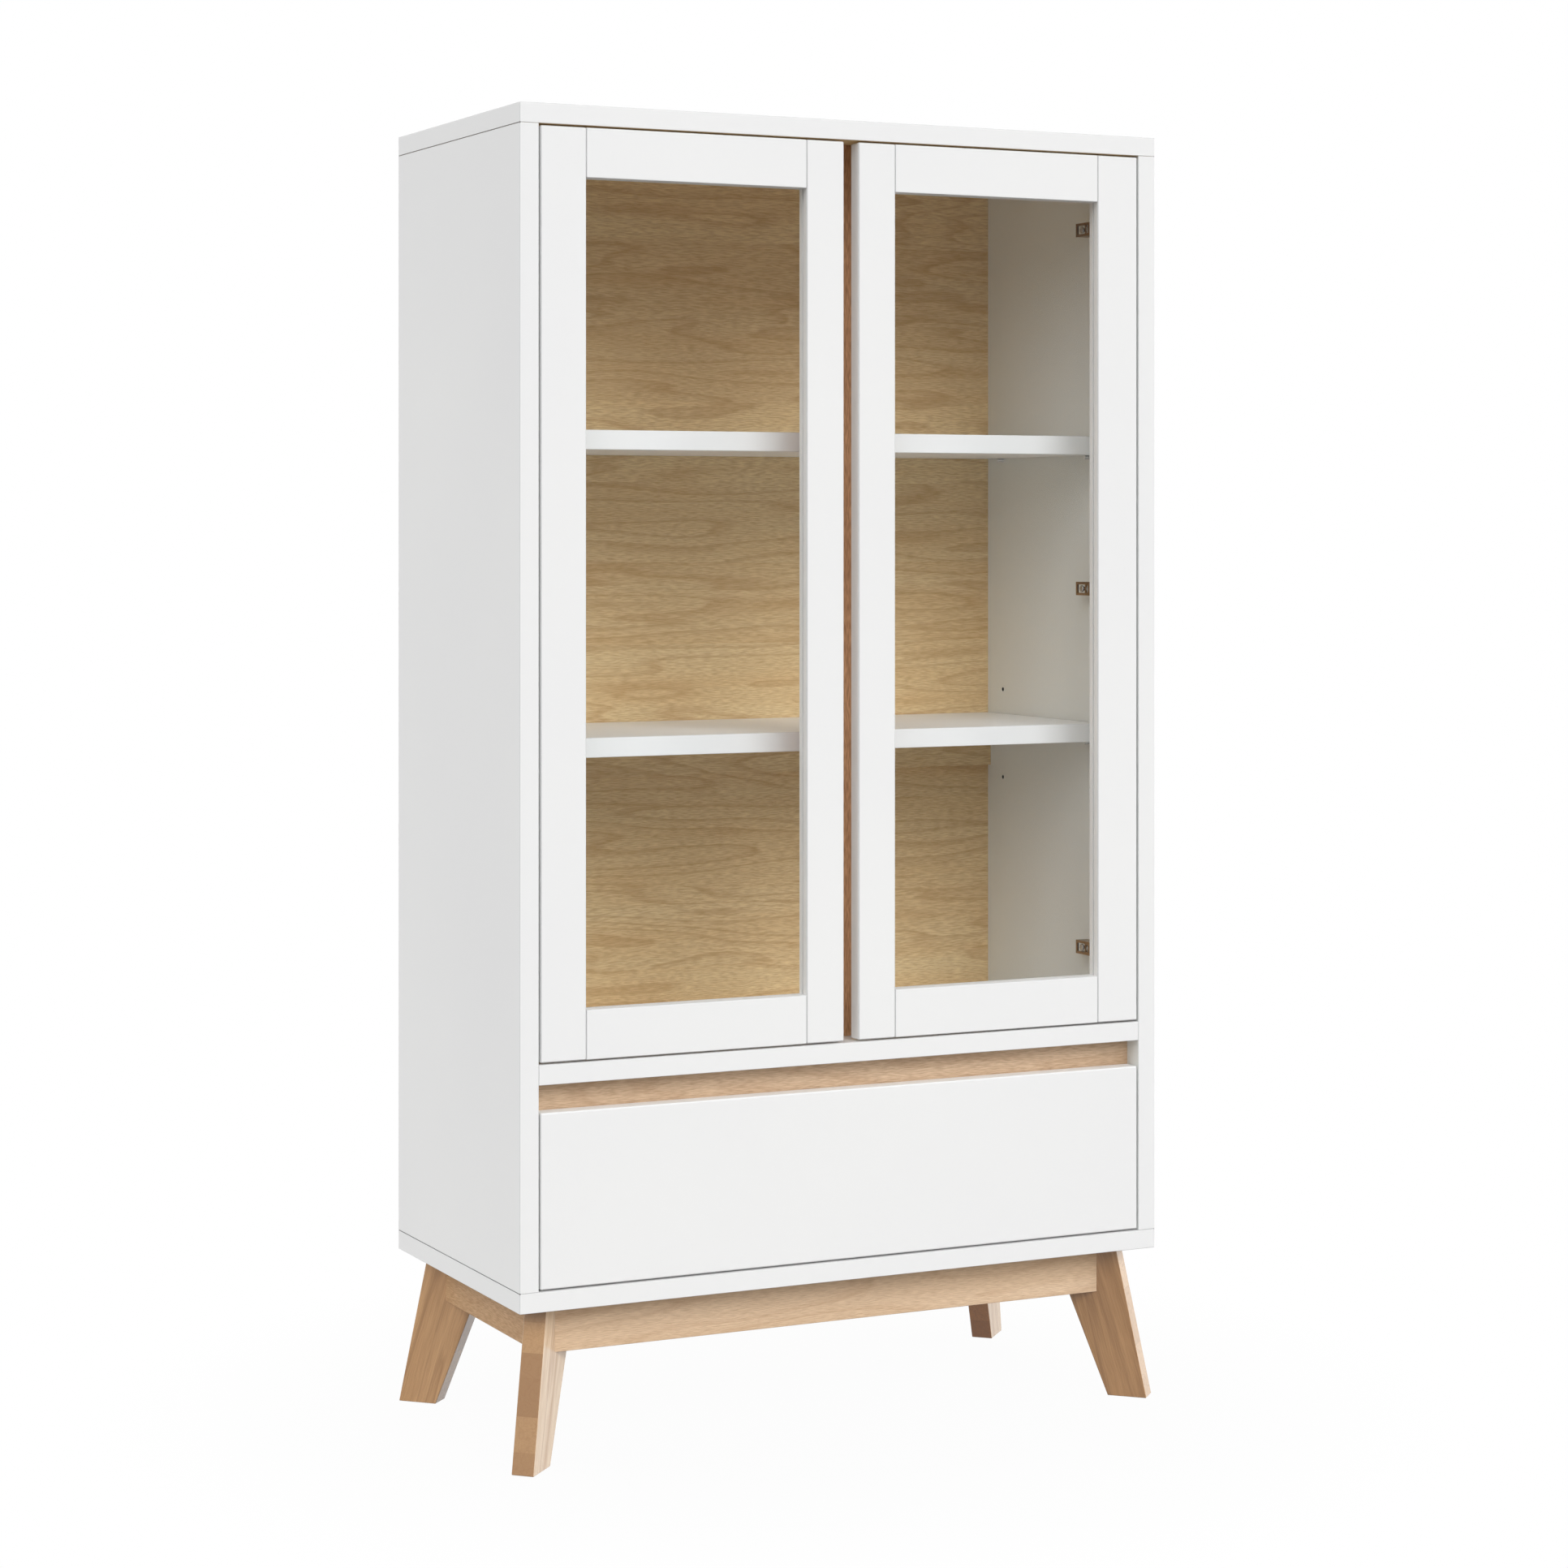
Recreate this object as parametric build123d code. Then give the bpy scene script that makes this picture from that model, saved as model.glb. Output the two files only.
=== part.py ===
from build123d import *
import os
from math import sqrt

# Driving dimensions in millimetres: +X right, +Y to the back, +Z up, origin on the floor at the centre

# Carcass
WIDTH = 800.0
DEPTH = 384.0
CARCASS_H = 1303.0
BOARD = 22.0
BOARD_ROUND = 0.8
MID_HEIGHT = 244.5          # underside of the mid panel over the underside of the carcass
BACK_T = 6.0
BACK_INSET = 18.0
GROOVE = 6.0
SLIP = 0.1                  # clearance of a board in its groove
FIT = 0.05                  # radial clearance of pins, dowels and screws

# Shelves and inner woodwork
LOWER_TIER = 323.5          # clear height from the mid panel to the lower shelf
UPPER_TIER = 327.0          # clear height from the upper shelf to the top panel
SHELF_T = 22.0
SHELF_POST_GAP = 14.0
SHELF_CLEAR = 1.0
PIN_R = 2.5
PIN_IN = 9.0
PIN_OUT = 9.0
PIN_FRONT_INSET = 28.0      # from the shelf's front edge
PIN_BACK_INSET = 38.0       # from the back panel
SPARE_HOLE_PITCH = 55.0
BATTEN_H = 44.0
BATTEN_T = 7.0
POST_W = 50.0
POST_T = 20.0
POST_BEHIND_DOORS = 28.0
RAIL_BEHIND_FRONT = 3.0
RAIL_T = 16.0
RAIL_H = 44.5

# Doors
DOOR_T = 20.0
EDGE_GAP = 2.0
CENTRE_GAP = 18.5
HINGE_STILE_W = 53.5
FREE_STILE_W = 46.75
DOOR_RAIL_H = 54.5
STILE_ROUND = 1.8
DOOR_RAIL_ROUND = 1.2
GLASS_T = 4.0
GLASS_SETBACK = 9.0
REBATE_W = 8.0
GLASS_CLEAR = 1.0

# Concealed hinges: places in plan are (distance from the cup's centre line towards the free edge of the
# door, distance behind the door's back face, or over the bottom of the cup's pocket)
HINGE_INSET = 75.0          # lowest hinge over the door's foot
TOP_HINGE_INSET = 77.8
CUP_INSET = 22.5            # cup's centre line from the door's hinge edge
CUP_R = 17.5
CUP_DEPTH = 12.5
CUP_WALL = 0.8
NOTCH_DEPTH = 6.0           # opening in the cup's rim for the link
NOTCH_REACH = 6.0
FLANGE_LIP = 1.5
FLANGE_T = 1.0
WING_W = 18.0
WING_H = 64.0
CUP_SCREW_SPACING = 52.0
CUP_SCREW_R = 1.6
CUP_SCREW_HEAD_R = 3.2
CUP_SCREW_HEAD_H = 1.5
CUP_SCREW_DEPTH = 9.0
ARM_PIVOT = (2.8, 9.2)      # behind the door
CUP_PIVOT = (-10.4, 4.1)    # over the pocket's bottom
LINK_ELBOWS = ((5.4, 7.6), (2.4, 2.7))
LINK_T = 2.4
LINK_SIDE_GAP = 0.8
EYE_R = 2.4
HINGE_PIN_R = 1.3
ARM_START = 16.0
ARM_LENGTH = 78.0
ARM_STANDOFF = 18.0
ARM_W = 16.0
ARM_SHEET = 2.0
NOSE_R = 3.3
NOSE_ROOT = (-9.5, 21.0)    # behind the door
ARM_WINDOW = (17.0, 10.0)
ARM_WINDOW_END = 3.5
ARM_SCREW_R = 4.2
ARM_BRIDGE = 2.0            # between the window and the slot in front of it
SIDE_SLOT = (6.0, 9.0)
SIDE_SCREW_R = 2.6
PLATE_T = 2.5
PLATE_INSET = 16.0
PLATE_END_INSET = 2.0
PLATE_WING_W = 18.0
PLATE_WING_H = 46.0
PLATE_SCREW_SPACING = 32.0
PLATE_SCREW_R = 1.8
PLATE_SCREW_HEAD_R = 3.6
PLATE_SCREW_HEAD_H = 1.6
PLATE_SCREW_DEPTH = 12.0

# Drawer and slides
FINGER_GAP = 30.0
DRAWER_FRONT_T = 22.0
DRAWER_ROUND = 1.8
DRAWER_BOARD = 15.0
BOX_FOOTROOM = 12.0         # underside of the box over the bottom panel
BOX_HEADROOM = 16.0         # finger rail over the box
BOX_BACK_GAP = 15.0
DRAWER_FLOOR_T = 6.0
DRAWER_FLOOR_RISE = 12.0
DRAWER_GROOVE = 5.0
DRAWER_DOWEL_R = 4.0
DRAWER_DOWEL_SHORT = 9.0
DRAWER_DOWEL_LONG = 19.0
DRAWER_DOWEL_INSET = 37.5
SLIDE_SPACE = 13.0
SLIDE_FRONT_INSET = 8.0     # from the ends of the drawer's sides
SLIDE_BACK_INSET = 15.0
SLIDE_H = 45.0
SLIDE_RISE = 56.0           # slide's centre line over the underside of the box
SLIDE_SHEET = 1.2
SLIDE_CLEAR = 0.7
SLIDE_SCREW_R = 1.8
SLIDE_SCREW_HEAD_R = 3.4
SLIDE_SCREW_HEAD_H = 0.4
SLIDE_SCREW_DEPTH = 12.0
SLIDE_SCREW_INSET = 25.0

# Base
LEG_H = 175.0
LEG_T = 26.0
LEG_FOOT_W = 46.5
LEG_TOP_W = 80.0
LEG_SPLAY = 37.0            # how far the outer edge leans in towards the top
LEG_ROUND = 1.0
FOOT_INSET = 6.8            # foot's outer edge from the carcass corner, along the diagonal
APRON_T = 22.0
APRON_H = 54.0
APRON_SETBACK = 38.0
APRON_ROUND = 0.8

# Wood dowels, cam fittings and leg screws
DOWEL_R = 4.0
DOWEL_SHORT = 11.0
DOWEL_LONG = 19.0
DOWEL_INSET = 60.0
APRON_DOWEL_IN = 14.0
FRONT_DOWEL_DROP = 16.0
SIDE_DOWEL_DROP = 38.0
CAM_R = 7.5
CAM_OVERDEPTH = 1.5         # cam's depth beyond the board's middle
CAM_REACH = 24.0
CAM_INSET = 110.0
CAM_BOLT_R = 3.0
CAM_SLOT_CLEAR = 0.3
LEG_SCREW_R = 2.5
LEG_SCREW_HEAD_R = 5.0
LEG_SCREW_HEAD_H = 3.0
LEG_SCREW_DEPTH = 30.0
LEG_SCREW_OUTER_INSET = 14.0  # from the ends of the leg's top
LEG_SCREW_INNER_INSET = 26.0

# Planes and edges that the pieces share
LEFT = -WIDTH / 2
FRONT = -DEPTH / 2
BACK = DEPTH / 2
INNER_LEFT = LEFT + BOARD
INNER_RIGHT = -INNER_LEFT
FLOOR_Z = LEG_H
TOP_Z = LEG_H + CARCASS_H
INNER_TOP = TOP_Z - BOARD
INNER_BOTTOM = FLOOR_Z + BOARD
MID_Z = FLOOR_Z + MID_HEIGHT
MID_TOP = MID_Z + BOARD
BACK_FACE = BACK - BACK_INSET - BACK_T
CAM_DEPTH = BOARD / 2 + CAM_OVERDEPTH
DOOR_LEFT = INNER_LEFT + EDGE_GAP
DOOR_RIGHT = -CENTRE_GAP / 2
DOOR_BACK = FRONT + DOOR_T
DOOR_Z0 = MID_TOP + EDGE_GAP
DOOR_Z1 = INNER_TOP - EDGE_GAP
LOW_HINGE_Z = DOOR_Z0 + HINGE_INSET
HIGH_HINGE_Z = DOOR_Z1 - TOP_HINGE_INSET
HINGE_HEIGHTS = (LOW_HINGE_Z, (LOW_HINGE_Z + HIGH_HINGE_Z) / 2, HIGH_HINGE_Z)
FLANGE_R = CUP_R + FLANGE_LIP
LINK_W = ARM_W - 2 * ARM_SHEET - 2 * LINK_SIDE_GAP
POST_Y = (DOOR_BACK + POST_BEHIND_DOORS, DOOR_BACK + POST_BEHIND_DOORS + POST_T)
LOWER_SHELF_Z = MID_TOP + LOWER_TIER
UPPER_SHELF_Z = INNER_TOP - UPPER_TIER - SHELF_T
SHELF_UNDERSIDES = (UPPER_SHELF_Z, LOWER_SHELF_Z)
SHELF_FRONT = POST_Y[1] + SHELF_POST_GAP
PIN_PLACES = (SHELF_FRONT + PIN_FRONT_INSET, BACK_FACE - PIN_BACK_INSET)
RAIL_Z = MID_Z - RAIL_H
DRAWER_Z0 = INNER_BOTTOM + EDGE_GAP
DRAWER_Z1 = MID_Z - FINGER_GAP
BOX_LEFT = INNER_LEFT + SLIDE_SPACE
BOX_FRONT = FRONT + DRAWER_FRONT_T
BOX_BACK = BACK_FACE - BOX_BACK_GAP
BOX_Z0 = INNER_BOTTOM + BOX_FOOTROOM
BOX_Z1 = RAIL_Z - BOX_HEADROOM
DRAWER_FLOOR_Z = BOX_Z0 + DRAWER_FLOOR_RISE
SLIDE_Y = (BOX_FRONT + SLIDE_FRONT_INSET, BOX_BACK - SLIDE_BACK_INSET)
SLIDE_MID_Z = BOX_Z0 + SLIDE_RISE


def block(x, y, z):
    """A box between the given pairs of coordinates."""
    size = (x[1] - x[0], y[1] - y[0], z[1] - z[0])
    centre = ((x[0] + x[1]) / 2, (y[0] + y[1]) / 2, (z[0] + z[1]) / 2)
    return Pos(*centre) * Box(*size)


def rounded(x, y, z, radius):
    """A box with all its edges rounded."""
    body = block(x, y, z)
    return fillet(body.edges(), radius)


def rod_x(x, y, z, radius):
    return Pos((x[0] + x[1]) / 2, y, z) * Rot(0, 90, 0) * Cylinder(radius, abs(x[1] - x[0]))


def rod_y(x, y, z, radius):
    return Pos(x, (y[0] + y[1]) / 2, z) * Rot(90, 0, 0) * Cylinder(radius, abs(y[1] - y[0]))


def rod_z(x, y, z, radius):
    return Pos(x, y, (z[0] + z[1]) / 2) * Cylinder(radius, abs(z[1] - z[0]))


def around(centre, half):
    return (centre - half, centre + half)


def cut(body, tools):
    for tool in tools:
        body = body - tool
    return body


def mirrored(shapes):
    """The right-hand copies of left-hand pieces."""
    return [mirror(shape, about=Plane.YZ) for shape in shapes]


def both_sides(shapes):
    return shapes + mirrored(shapes)


NODES = {}


def add(name, *solids):
    NODES[name] = solids[0] if len(solids) == 1 else Compound(children=list(solids))


# Wood dowels and cam fittings between the side panels and the three panels that run across

SIDE_MID_X = LEFT + BOARD / 2
DOWEL_DEPTHS = (FRONT + DOWEL_INSET, BACK_FACE - DOWEL_INSET)
CAM_DEPTHS = (FRONT + CAM_INSET, BACK_FACE - CAM_INSET)
MID_BOARD_Z = MID_Z + BOARD / 2


def side_dowels(grow):
    """Dowels of the left side panel's joints, or the holes for them when grown."""
    radius = DOWEL_R + grow
    long = DOWEL_LONG + grow
    short = DOWEL_SHORT + grow
    rods = []
    for y in DOWEL_DEPTHS:
        rods.append(rod_z(SIDE_MID_X, y, (INNER_TOP - long, INNER_TOP + short), radius))
        rods.append(rod_z(SIDE_MID_X, y, (INNER_BOTTOM - short, INNER_BOTTOM + long), radius))
        rods.append(rod_x((INNER_LEFT - short, INNER_LEFT + long), y, MID_BOARD_Z, radius))
    return rods


def cam_bolts(grow):
    """Bolts from the panels that run across, each ending at the centre of its cam."""
    radius = CAM_BOLT_R + grow
    short = DOWEL_SHORT + grow
    rods = []
    for y in CAM_DEPTHS:
        rods.append(rod_z(SIDE_MID_X, y, (INNER_TOP - CAM_REACH, INNER_TOP + short), radius))
        rods.append(rod_z(SIDE_MID_X, y, (INNER_BOTTOM - short, INNER_BOTTOM + CAM_REACH), radius))
        rods.append(rod_x((INNER_LEFT - short, INNER_LEFT + CAM_REACH), y, MID_BOARD_Z, radius))
    return rods


def cam_discs(grow):
    radius = CAM_R + grow
    depth = CAM_DEPTH + grow
    discs = []
    for y in CAM_DEPTHS:
        for z in (INNER_TOP - CAM_REACH, INNER_BOTTOM + CAM_REACH):
            discs.append(rod_x((INNER_LEFT - depth, INNER_LEFT), y, z, radius))
        discs.append(rod_z(INNER_LEFT + CAM_REACH, y, (MID_Z, MID_Z + depth), radius))
    return discs


def joint_holes():
    """All holes that the left-hand dowels, bolts and cams sit in."""
    return side_dowels(FIT) + cam_bolts(CAM_SLOT_CLEAR) + cam_discs(FIT)


LEFT_JOINTS = joint_holes()
ALL_JOINTS = both_sides(LEFT_JOINTS)
BOLT_SLOTS = cam_bolts(CAM_SLOT_CLEAR)

add("carcass_dowels", *both_sides(side_dowels(0)))
add("cam_bolts", *both_sides(cam_bolts(0)))
add("cam_locks", *both_sides([cut(disc, BOLT_SLOTS) for disc in cam_discs(0)]))

# Legs: tapered boards standing on the diagonals of the plan

HALF_SQRT = sqrt(0.5)
CORNERS = {"front_left": (-1, -1), "front_right": (1, -1), "back_left": (-1, 1), "back_right": (1, 1)}
LEG_OUTLINE = (
    (FOOT_INSET, 0),
    (FOOT_INSET + LEG_FOOT_W, 0),
    (FOOT_INSET + LEG_SPLAY + LEG_TOP_W, LEG_H),
    (FOOT_INSET + LEG_SPLAY, LEG_H),
)


def leg_plane(sx, sy):
    """Vertical plane on a corner's diagonal, x running inwards from the carcass corner, y up."""
    return Plane(origin=(sx * WIDTH / 2, sy * DEPTH / 2, 0), x_dir=(-sx, -sy, 0), z_dir=(-sy, sx, 0))


def diagonal_point(sx, sy, u):
    """Plan point at a distance u inwards from a carcass corner."""
    return (sx * (WIDTH / 2 - u * HALF_SQRT), sy * (DEPTH / 2 - u * HALF_SQRT))


def leg_board(sx, sy):
    outline = make_face(Polyline(*LEG_OUTLINE, close=True))
    board = extrude(leg_plane(sx, sy) * outline, LEG_T / 2, both=True)
    return fillet(board.edges(), LEG_ROUND)


LEG_SCREW_PLACES = (
    FOOT_INSET + LEG_SPLAY + LEG_SCREW_OUTER_INSET,
    FOOT_INSET + LEG_SPLAY + LEG_TOP_W - LEG_SCREW_INNER_INSET,
)


def leg_screws(sx, sy, grow):
    screws = []
    for u in LEG_SCREW_PLACES:
        x, y = diagonal_point(sx, sy, u)
        head_z = INNER_BOTTOM - LEG_SCREW_HEAD_H
        shank = rod_z(x, y, (FLOOR_Z - LEG_SCREW_DEPTH - grow, head_z), LEG_SCREW_R + grow)
        head = rod_z(x, y, (head_z, INNER_BOTTOM), LEG_SCREW_HEAD_R + grow)
        screws.append(shank + head)
    return screws


# Aprons between the legs, their ends cut to the legs' faces

FACE_OFFSET = LEG_T * HALF_SQRT   # leg's face from its middle plane, measured along X or Y
APRON_Z = (FLOOR_Z - APRON_H, FLOOR_Z)
LONG_APRON_Y = (FRONT + APRON_SETBACK, FRONT + APRON_SETBACK + APRON_T)
SHORT_APRON_X = (LEFT + APRON_SETBACK, LEFT + APRON_SETBACK + APRON_T)


def front_apron():
    start, end = APRON_SETBACK, APRON_SETBACK + APRON_T
    near = LEFT + FACE_OFFSET + start
    far = LEFT + FACE_OFFSET + end
    plan = Polyline((near, LONG_APRON_Y[0]), (-near, LONG_APRON_Y[0]),
                    (-far, LONG_APRON_Y[1]), (far, LONG_APRON_Y[1]), close=True)
    prism = Pos(0, 0, APRON_Z[0]) * extrude(make_face(plan), APRON_H)
    bar = block((near, -near), LONG_APRON_Y, APRON_Z)
    return prism & fillet(bar.edges().filter_by(Axis.X), APRON_ROUND)


def left_apron():
    start, end = APRON_SETBACK, APRON_SETBACK + APRON_T
    near = FRONT + FACE_OFFSET + start
    far = FRONT + FACE_OFFSET + end
    plan = Polyline((SHORT_APRON_X[0], near), (SHORT_APRON_X[0], -near),
                    (SHORT_APRON_X[1], -far), (SHORT_APRON_X[1], far), close=True)
    prism = Pos(0, 0, APRON_Z[0]) * extrude(make_face(plan), APRON_H)
    bar = block(SHORT_APRON_X, (near, -near), APRON_Z)
    return prism & fillet(bar.edges().filter_by(Axis.Y), APRON_ROUND)


def apron_dowels(sx, sy, grow):
    """One dowel from the long apron and one from the short apron into a leg."""
    long_mid = APRON_SETBACK + APRON_T / 2
    seat = long_mid + FACE_OFFSET
    reach = APRON_DOWEL_IN + grow
    radius = DOWEL_R + grow
    x = sorted((sx * (WIDTH / 2 - seat - reach), sx * (WIDTH / 2 - seat + reach)))
    y = sorted((sy * (DEPTH / 2 - seat - reach), sy * (DEPTH / 2 - seat + reach)))
    along_x = rod_x(x, sy * (DEPTH / 2 - long_mid), FLOOR_Z - FRONT_DOWEL_DROP, radius)
    along_y = rod_y(sx * (WIDTH / 2 - long_mid), y, FLOOR_Z - SIDE_DOWEL_DROP, radius)
    return [along_x, along_y]


DOWEL_HOLES = []
LEG_SCREW_HOLES = []
for sx, sy in CORNERS.values():
    DOWEL_HOLES += apron_dowels(sx, sy, FIT)
    LEG_SCREW_HOLES += leg_screws(sx, sy, FIT)

for corner, (sx, sy) in CORNERS.items():
    holes = apron_dowels(sx, sy, FIT) + leg_screws(sx, sy, FIT)
    add("leg_" + corner, cut(leg_board(sx, sy), holes))

FRONT_APRON = cut(front_apron(), DOWEL_HOLES)
LEFT_APRON = cut(left_apron(), DOWEL_HOLES)
add("front_apron", FRONT_APRON)
add("back_apron", mirror(FRONT_APRON, about=Plane.XZ))
add("left_apron", LEFT_APRON)
add("right_apron", mirror(LEFT_APRON, about=Plane.YZ))
add("apron_dowels", *[rod for sx, sy in CORNERS.values() for rod in apron_dowels(sx, sy, 0)])
add("leg_screws", *[screw for sx, sy in CORNERS.values() for screw in leg_screws(sx, sy, 0)])

# Carcass panels, with the groove that the back panel slides in

BACK_SLOT = block(
    (INNER_LEFT - GROOVE - SLIP, INNER_RIGHT + GROOVE + SLIP),
    (BACK_FACE - SLIP, BACK_FACE + BACK_T + SLIP),
    (INNER_BOTTOM - GROOVE - SLIP, INNER_TOP + GROOVE + SLIP),
)


def shelf_pins(grow):
    """Pins in the left wall, each touching the underside of a shelf."""
    pins = []
    for underside in SHELF_UNDERSIDES:
        for y in PIN_PLACES:
            ends = (INNER_LEFT - PIN_IN - grow, INNER_LEFT + PIN_OUT)
            pins.append(rod_x(ends, y, underside - PIN_R, PIN_R + grow))
    return pins


def spare_pin_holes():
    """Holes over and under the lower shelf, for moving it."""
    holes = []
    for y in PIN_PLACES:
        for step in (-SPARE_HOLE_PITCH, SPARE_HOLE_PITCH):
            z = LOWER_SHELF_Z - PIN_R + step
            holes.append(rod_x((INNER_LEFT - PIN_IN, INNER_LEFT + PIN_OUT), y, z, PIN_R + FIT))
    return holes


# Concealed hinges, drawn for the left door

CUP_X = DOOR_LEFT + CUP_INSET
POCKET_FLOOR = DOOR_BACK - CUP_DEPTH
ARM_FRONT = DOOR_BACK + ARM_START
ARM_END = ARM_FRONT + ARM_LENGTH
PLATE_FRONT = ARM_FRONT + PLATE_INSET
PLATE_END = ARM_END - PLATE_END_INSET
WINDOW_Y = (ARM_END - ARM_WINDOW_END - ARM_WINDOW[0], ARM_END - ARM_WINDOW_END)
SLOT_Y = (WINDOW_Y[0] - ARM_BRIDGE - SIDE_SLOT[0], WINDOW_Y[0] - ARM_BRIDGE)


def behind_door(place):
    """Plan point of a place given from the cup's centre line and the door's back face."""
    return (CUP_X + place[0], DOOR_BACK + place[1])


def in_cup(place):
    """Plan point of a place given from the cup's centre line and the bottom of its pocket."""
    return (CUP_X + place[0], POCKET_FLOOR + place[1])


def strip(start, end, half):
    """Flat bar in plan from start to end, with round ends."""
    dx, dy = end[0] - start[0], end[1] - start[1]
    length = sqrt(dx * dx + dy * dy)
    nx, ny = -dy / length * half, dx / length * half
    corners = [(start[0] + nx, start[1] + ny), (end[0] + nx, end[1] + ny),
               (end[0] - nx, end[1] - ny), (start[0] - nx, start[1] - ny)]
    bar = make_face(Polyline(*corners, close=True))
    return bar + Pos(*start) * Circle(half) + Pos(*end) * Circle(half)


def slab(face, z):
    """A plan face made solid between two heights."""
    return Pos(0, 0, z[0]) * extrude(face, z[1] - z[0])


def hinge_plate(z):
    inside = around(z, ARM_W / 2 - ARM_SHEET)
    sheet = (INNER_LEFT, INNER_LEFT + PLATE_T)
    base = block(sheet, (PLATE_FRONT, PLATE_END), inside)
    wing = block(sheet, (PLATE_FRONT, PLATE_FRONT + PLATE_WING_W), around(z, PLATE_WING_H / 2))
    ridge_x = (INNER_LEFT, INNER_LEFT + ARM_STANDOFF - ARM_SHEET)
    ridge = block(ridge_x, (PLATE_FRONT, SLOT_Y[1]), inside)
    return cut(base + wing + ridge, plate_screws(z, FIT))


def plate_screws(z, grow):
    y = PLATE_FRONT + PLATE_WING_W / 2
    face = INNER_LEFT + PLATE_T
    screws = []
    for step in (-PLATE_SCREW_SPACING / 2, PLATE_SCREW_SPACING / 2):
        shank = rod_x((INNER_LEFT - PLATE_SCREW_DEPTH - grow, face), y, z + step, PLATE_SCREW_R + grow)
        head = rod_x((face, face + PLATE_SCREW_HEAD_H), y, z + step, PLATE_SCREW_HEAD_R)
        screws.append(shank + head)
    return screws


def hinge_arm(z):
    """Channel over the plate, with two cheeks that reach forward to the pivot."""
    span = (ARM_FRONT, ARM_END)
    outer = INNER_LEFT + ARM_STANDOFF
    legs = (INNER_LEFT + PLATE_T + SLIP, outer)
    web = block((outer - ARM_SHEET, outer), span, around(z, ARM_W / 2))
    arm = web - block(legs, WINDOW_Y, around(z, ARM_WINDOW[1] / 2))
    arm = arm - block(legs, SLOT_Y, around(z, SIDE_SLOT[1] / 2))
    pivot = behind_door(ARM_PIVOT)
    nose = strip(behind_door(NOSE_ROOT), pivot, NOSE_R)
    for cheek in cheek_heights(z):
        arm = arm + block(legs, span, cheek) + slab(nose, cheek)
    return arm - hinge_hole(pivot, z)


def cheek_heights(z):
    """Heights of the two cheeks, or of the two lugs in the cup that line up with them."""
    half = ARM_W / 2
    return ((z - half, z - half + ARM_SHEET), (z + half - ARM_SHEET, z + half))


def arm_screw(z):
    """Adjusting screw that shows in the arm's window, standing on the hinge plate."""
    y = sum(WINDOW_Y) / 2
    return rod_x((INNER_LEFT + PLATE_T, INNER_LEFT + ARM_STANDOFF), y, z, ARM_SCREW_R)


def side_screw(z):
    """Head of the screw that moves the door sideways, in the arm's slot and on the plate's ridge."""
    outer = INNER_LEFT + ARM_STANDOFF
    return rod_x((outer - ARM_SHEET, outer), sum(SLOT_Y) / 2, z, SIDE_SCREW_R)


def hinge_hole(point, z):
    return rod_z(point[0], point[1], around(z, ARM_W / 2), HINGE_PIN_R + FIT)


def hinge_pin(point, z):
    return rod_z(point[0], point[1], around(z, ARM_W / 2), HINGE_PIN_R)


def hinge_link(z):
    """Bent link from the arm's pivot round the edge of the cup to the pivot inside it."""
    route = [behind_door(ARM_PIVOT)] + [in_cup(place) for place in (*LINK_ELBOWS, CUP_PIVOT)]
    plan = strip(route[0], route[1], LINK_T / 2)
    for start, end in zip(route[1:], route[2:]):
        plan = plan + strip(start, end, LINK_T / 2)
    for pivot in (route[0], route[-1]):
        plan = plan + Pos(*pivot) * Circle(EYE_R)
    link = slab(plan, around(z, LINK_W / 2))
    return link - hinge_hole(route[0], z) - hinge_hole(route[-1], z)


def cup_screws(z, grow):
    seat = DOOR_BACK + FLANGE_T
    screws = []
    for step in (-CUP_SCREW_SPACING / 2, CUP_SCREW_SPACING / 2):
        shank = rod_y(CUP_X, (DOOR_BACK - CUP_SCREW_DEPTH - grow, seat), z + step, CUP_SCREW_R + grow)
        head = rod_y(CUP_X, (seat, seat + CUP_SCREW_HEAD_H), z + step, CUP_SCREW_HEAD_R)
        screws.append(shank + head)
    return screws


def hinge_cup(z):
    """Round cup with a winged flange, a notch for the link and two lugs for the inner pivot."""
    seat = (DOOR_BACK, DOOR_BACK + FLANGE_T)
    shell = rod_y(CUP_X, (POCKET_FLOOR, DOOR_BACK), z, CUP_R - FIT)
    flange = rod_y(CUP_X, seat, z, FLANGE_R)
    wing = block(around(CUP_X, WING_W / 2), seat, around(z, WING_H / 2))
    cup = shell + flange + wing
    cup = cup - rod_y(CUP_X, (POCKET_FLOOR + CUP_WALL, seat[1]), z, CUP_R - CUP_WALL)
    notch_x = (CUP_X - FLANGE_R, CUP_X - CUP_R + NOTCH_REACH)
    cup = cup - block(notch_x, (DOOR_BACK - NOTCH_DEPTH, seat[1]), around(z, LINK_W / 2 + LINK_SIDE_GAP))
    pivot = in_cup(CUP_PIVOT)
    for span in cheek_heights(z):
        lug = block(around(pivot[0], EYE_R), (POCKET_FLOOR, pivot[1]), span)
        cup = cup + lug + rod_z(pivot[0], pivot[1], span, EYE_R)
    cup = cup - hinge_hole(pivot, z)
    return cut(cup, cup_screws(z, FIT))


def cup_pocket(z):
    return rod_y(CUP_X, (POCKET_FLOOR, DOOR_BACK), z, CUP_R)


# Drawer slides, drawn for the left side

def channel(x, half_h, web_first):
    """Slide member: a sheet channel between two distances from the side panel."""
    ends = (INNER_LEFT + x[0], INNER_LEFT + x[1])
    web = (ends[0], ends[0] + SLIDE_SHEET) if web_first else (ends[1] - SLIDE_SHEET, ends[1])
    body = block(web, SLIDE_Y, around(SLIDE_MID_Z, half_h))
    for low in (SLIDE_MID_Z - half_h, SLIDE_MID_Z + half_h - SLIDE_SHEET):
        body = body + block(ends, SLIDE_Y, (low, low + SLIDE_SHEET))
    return body


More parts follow.
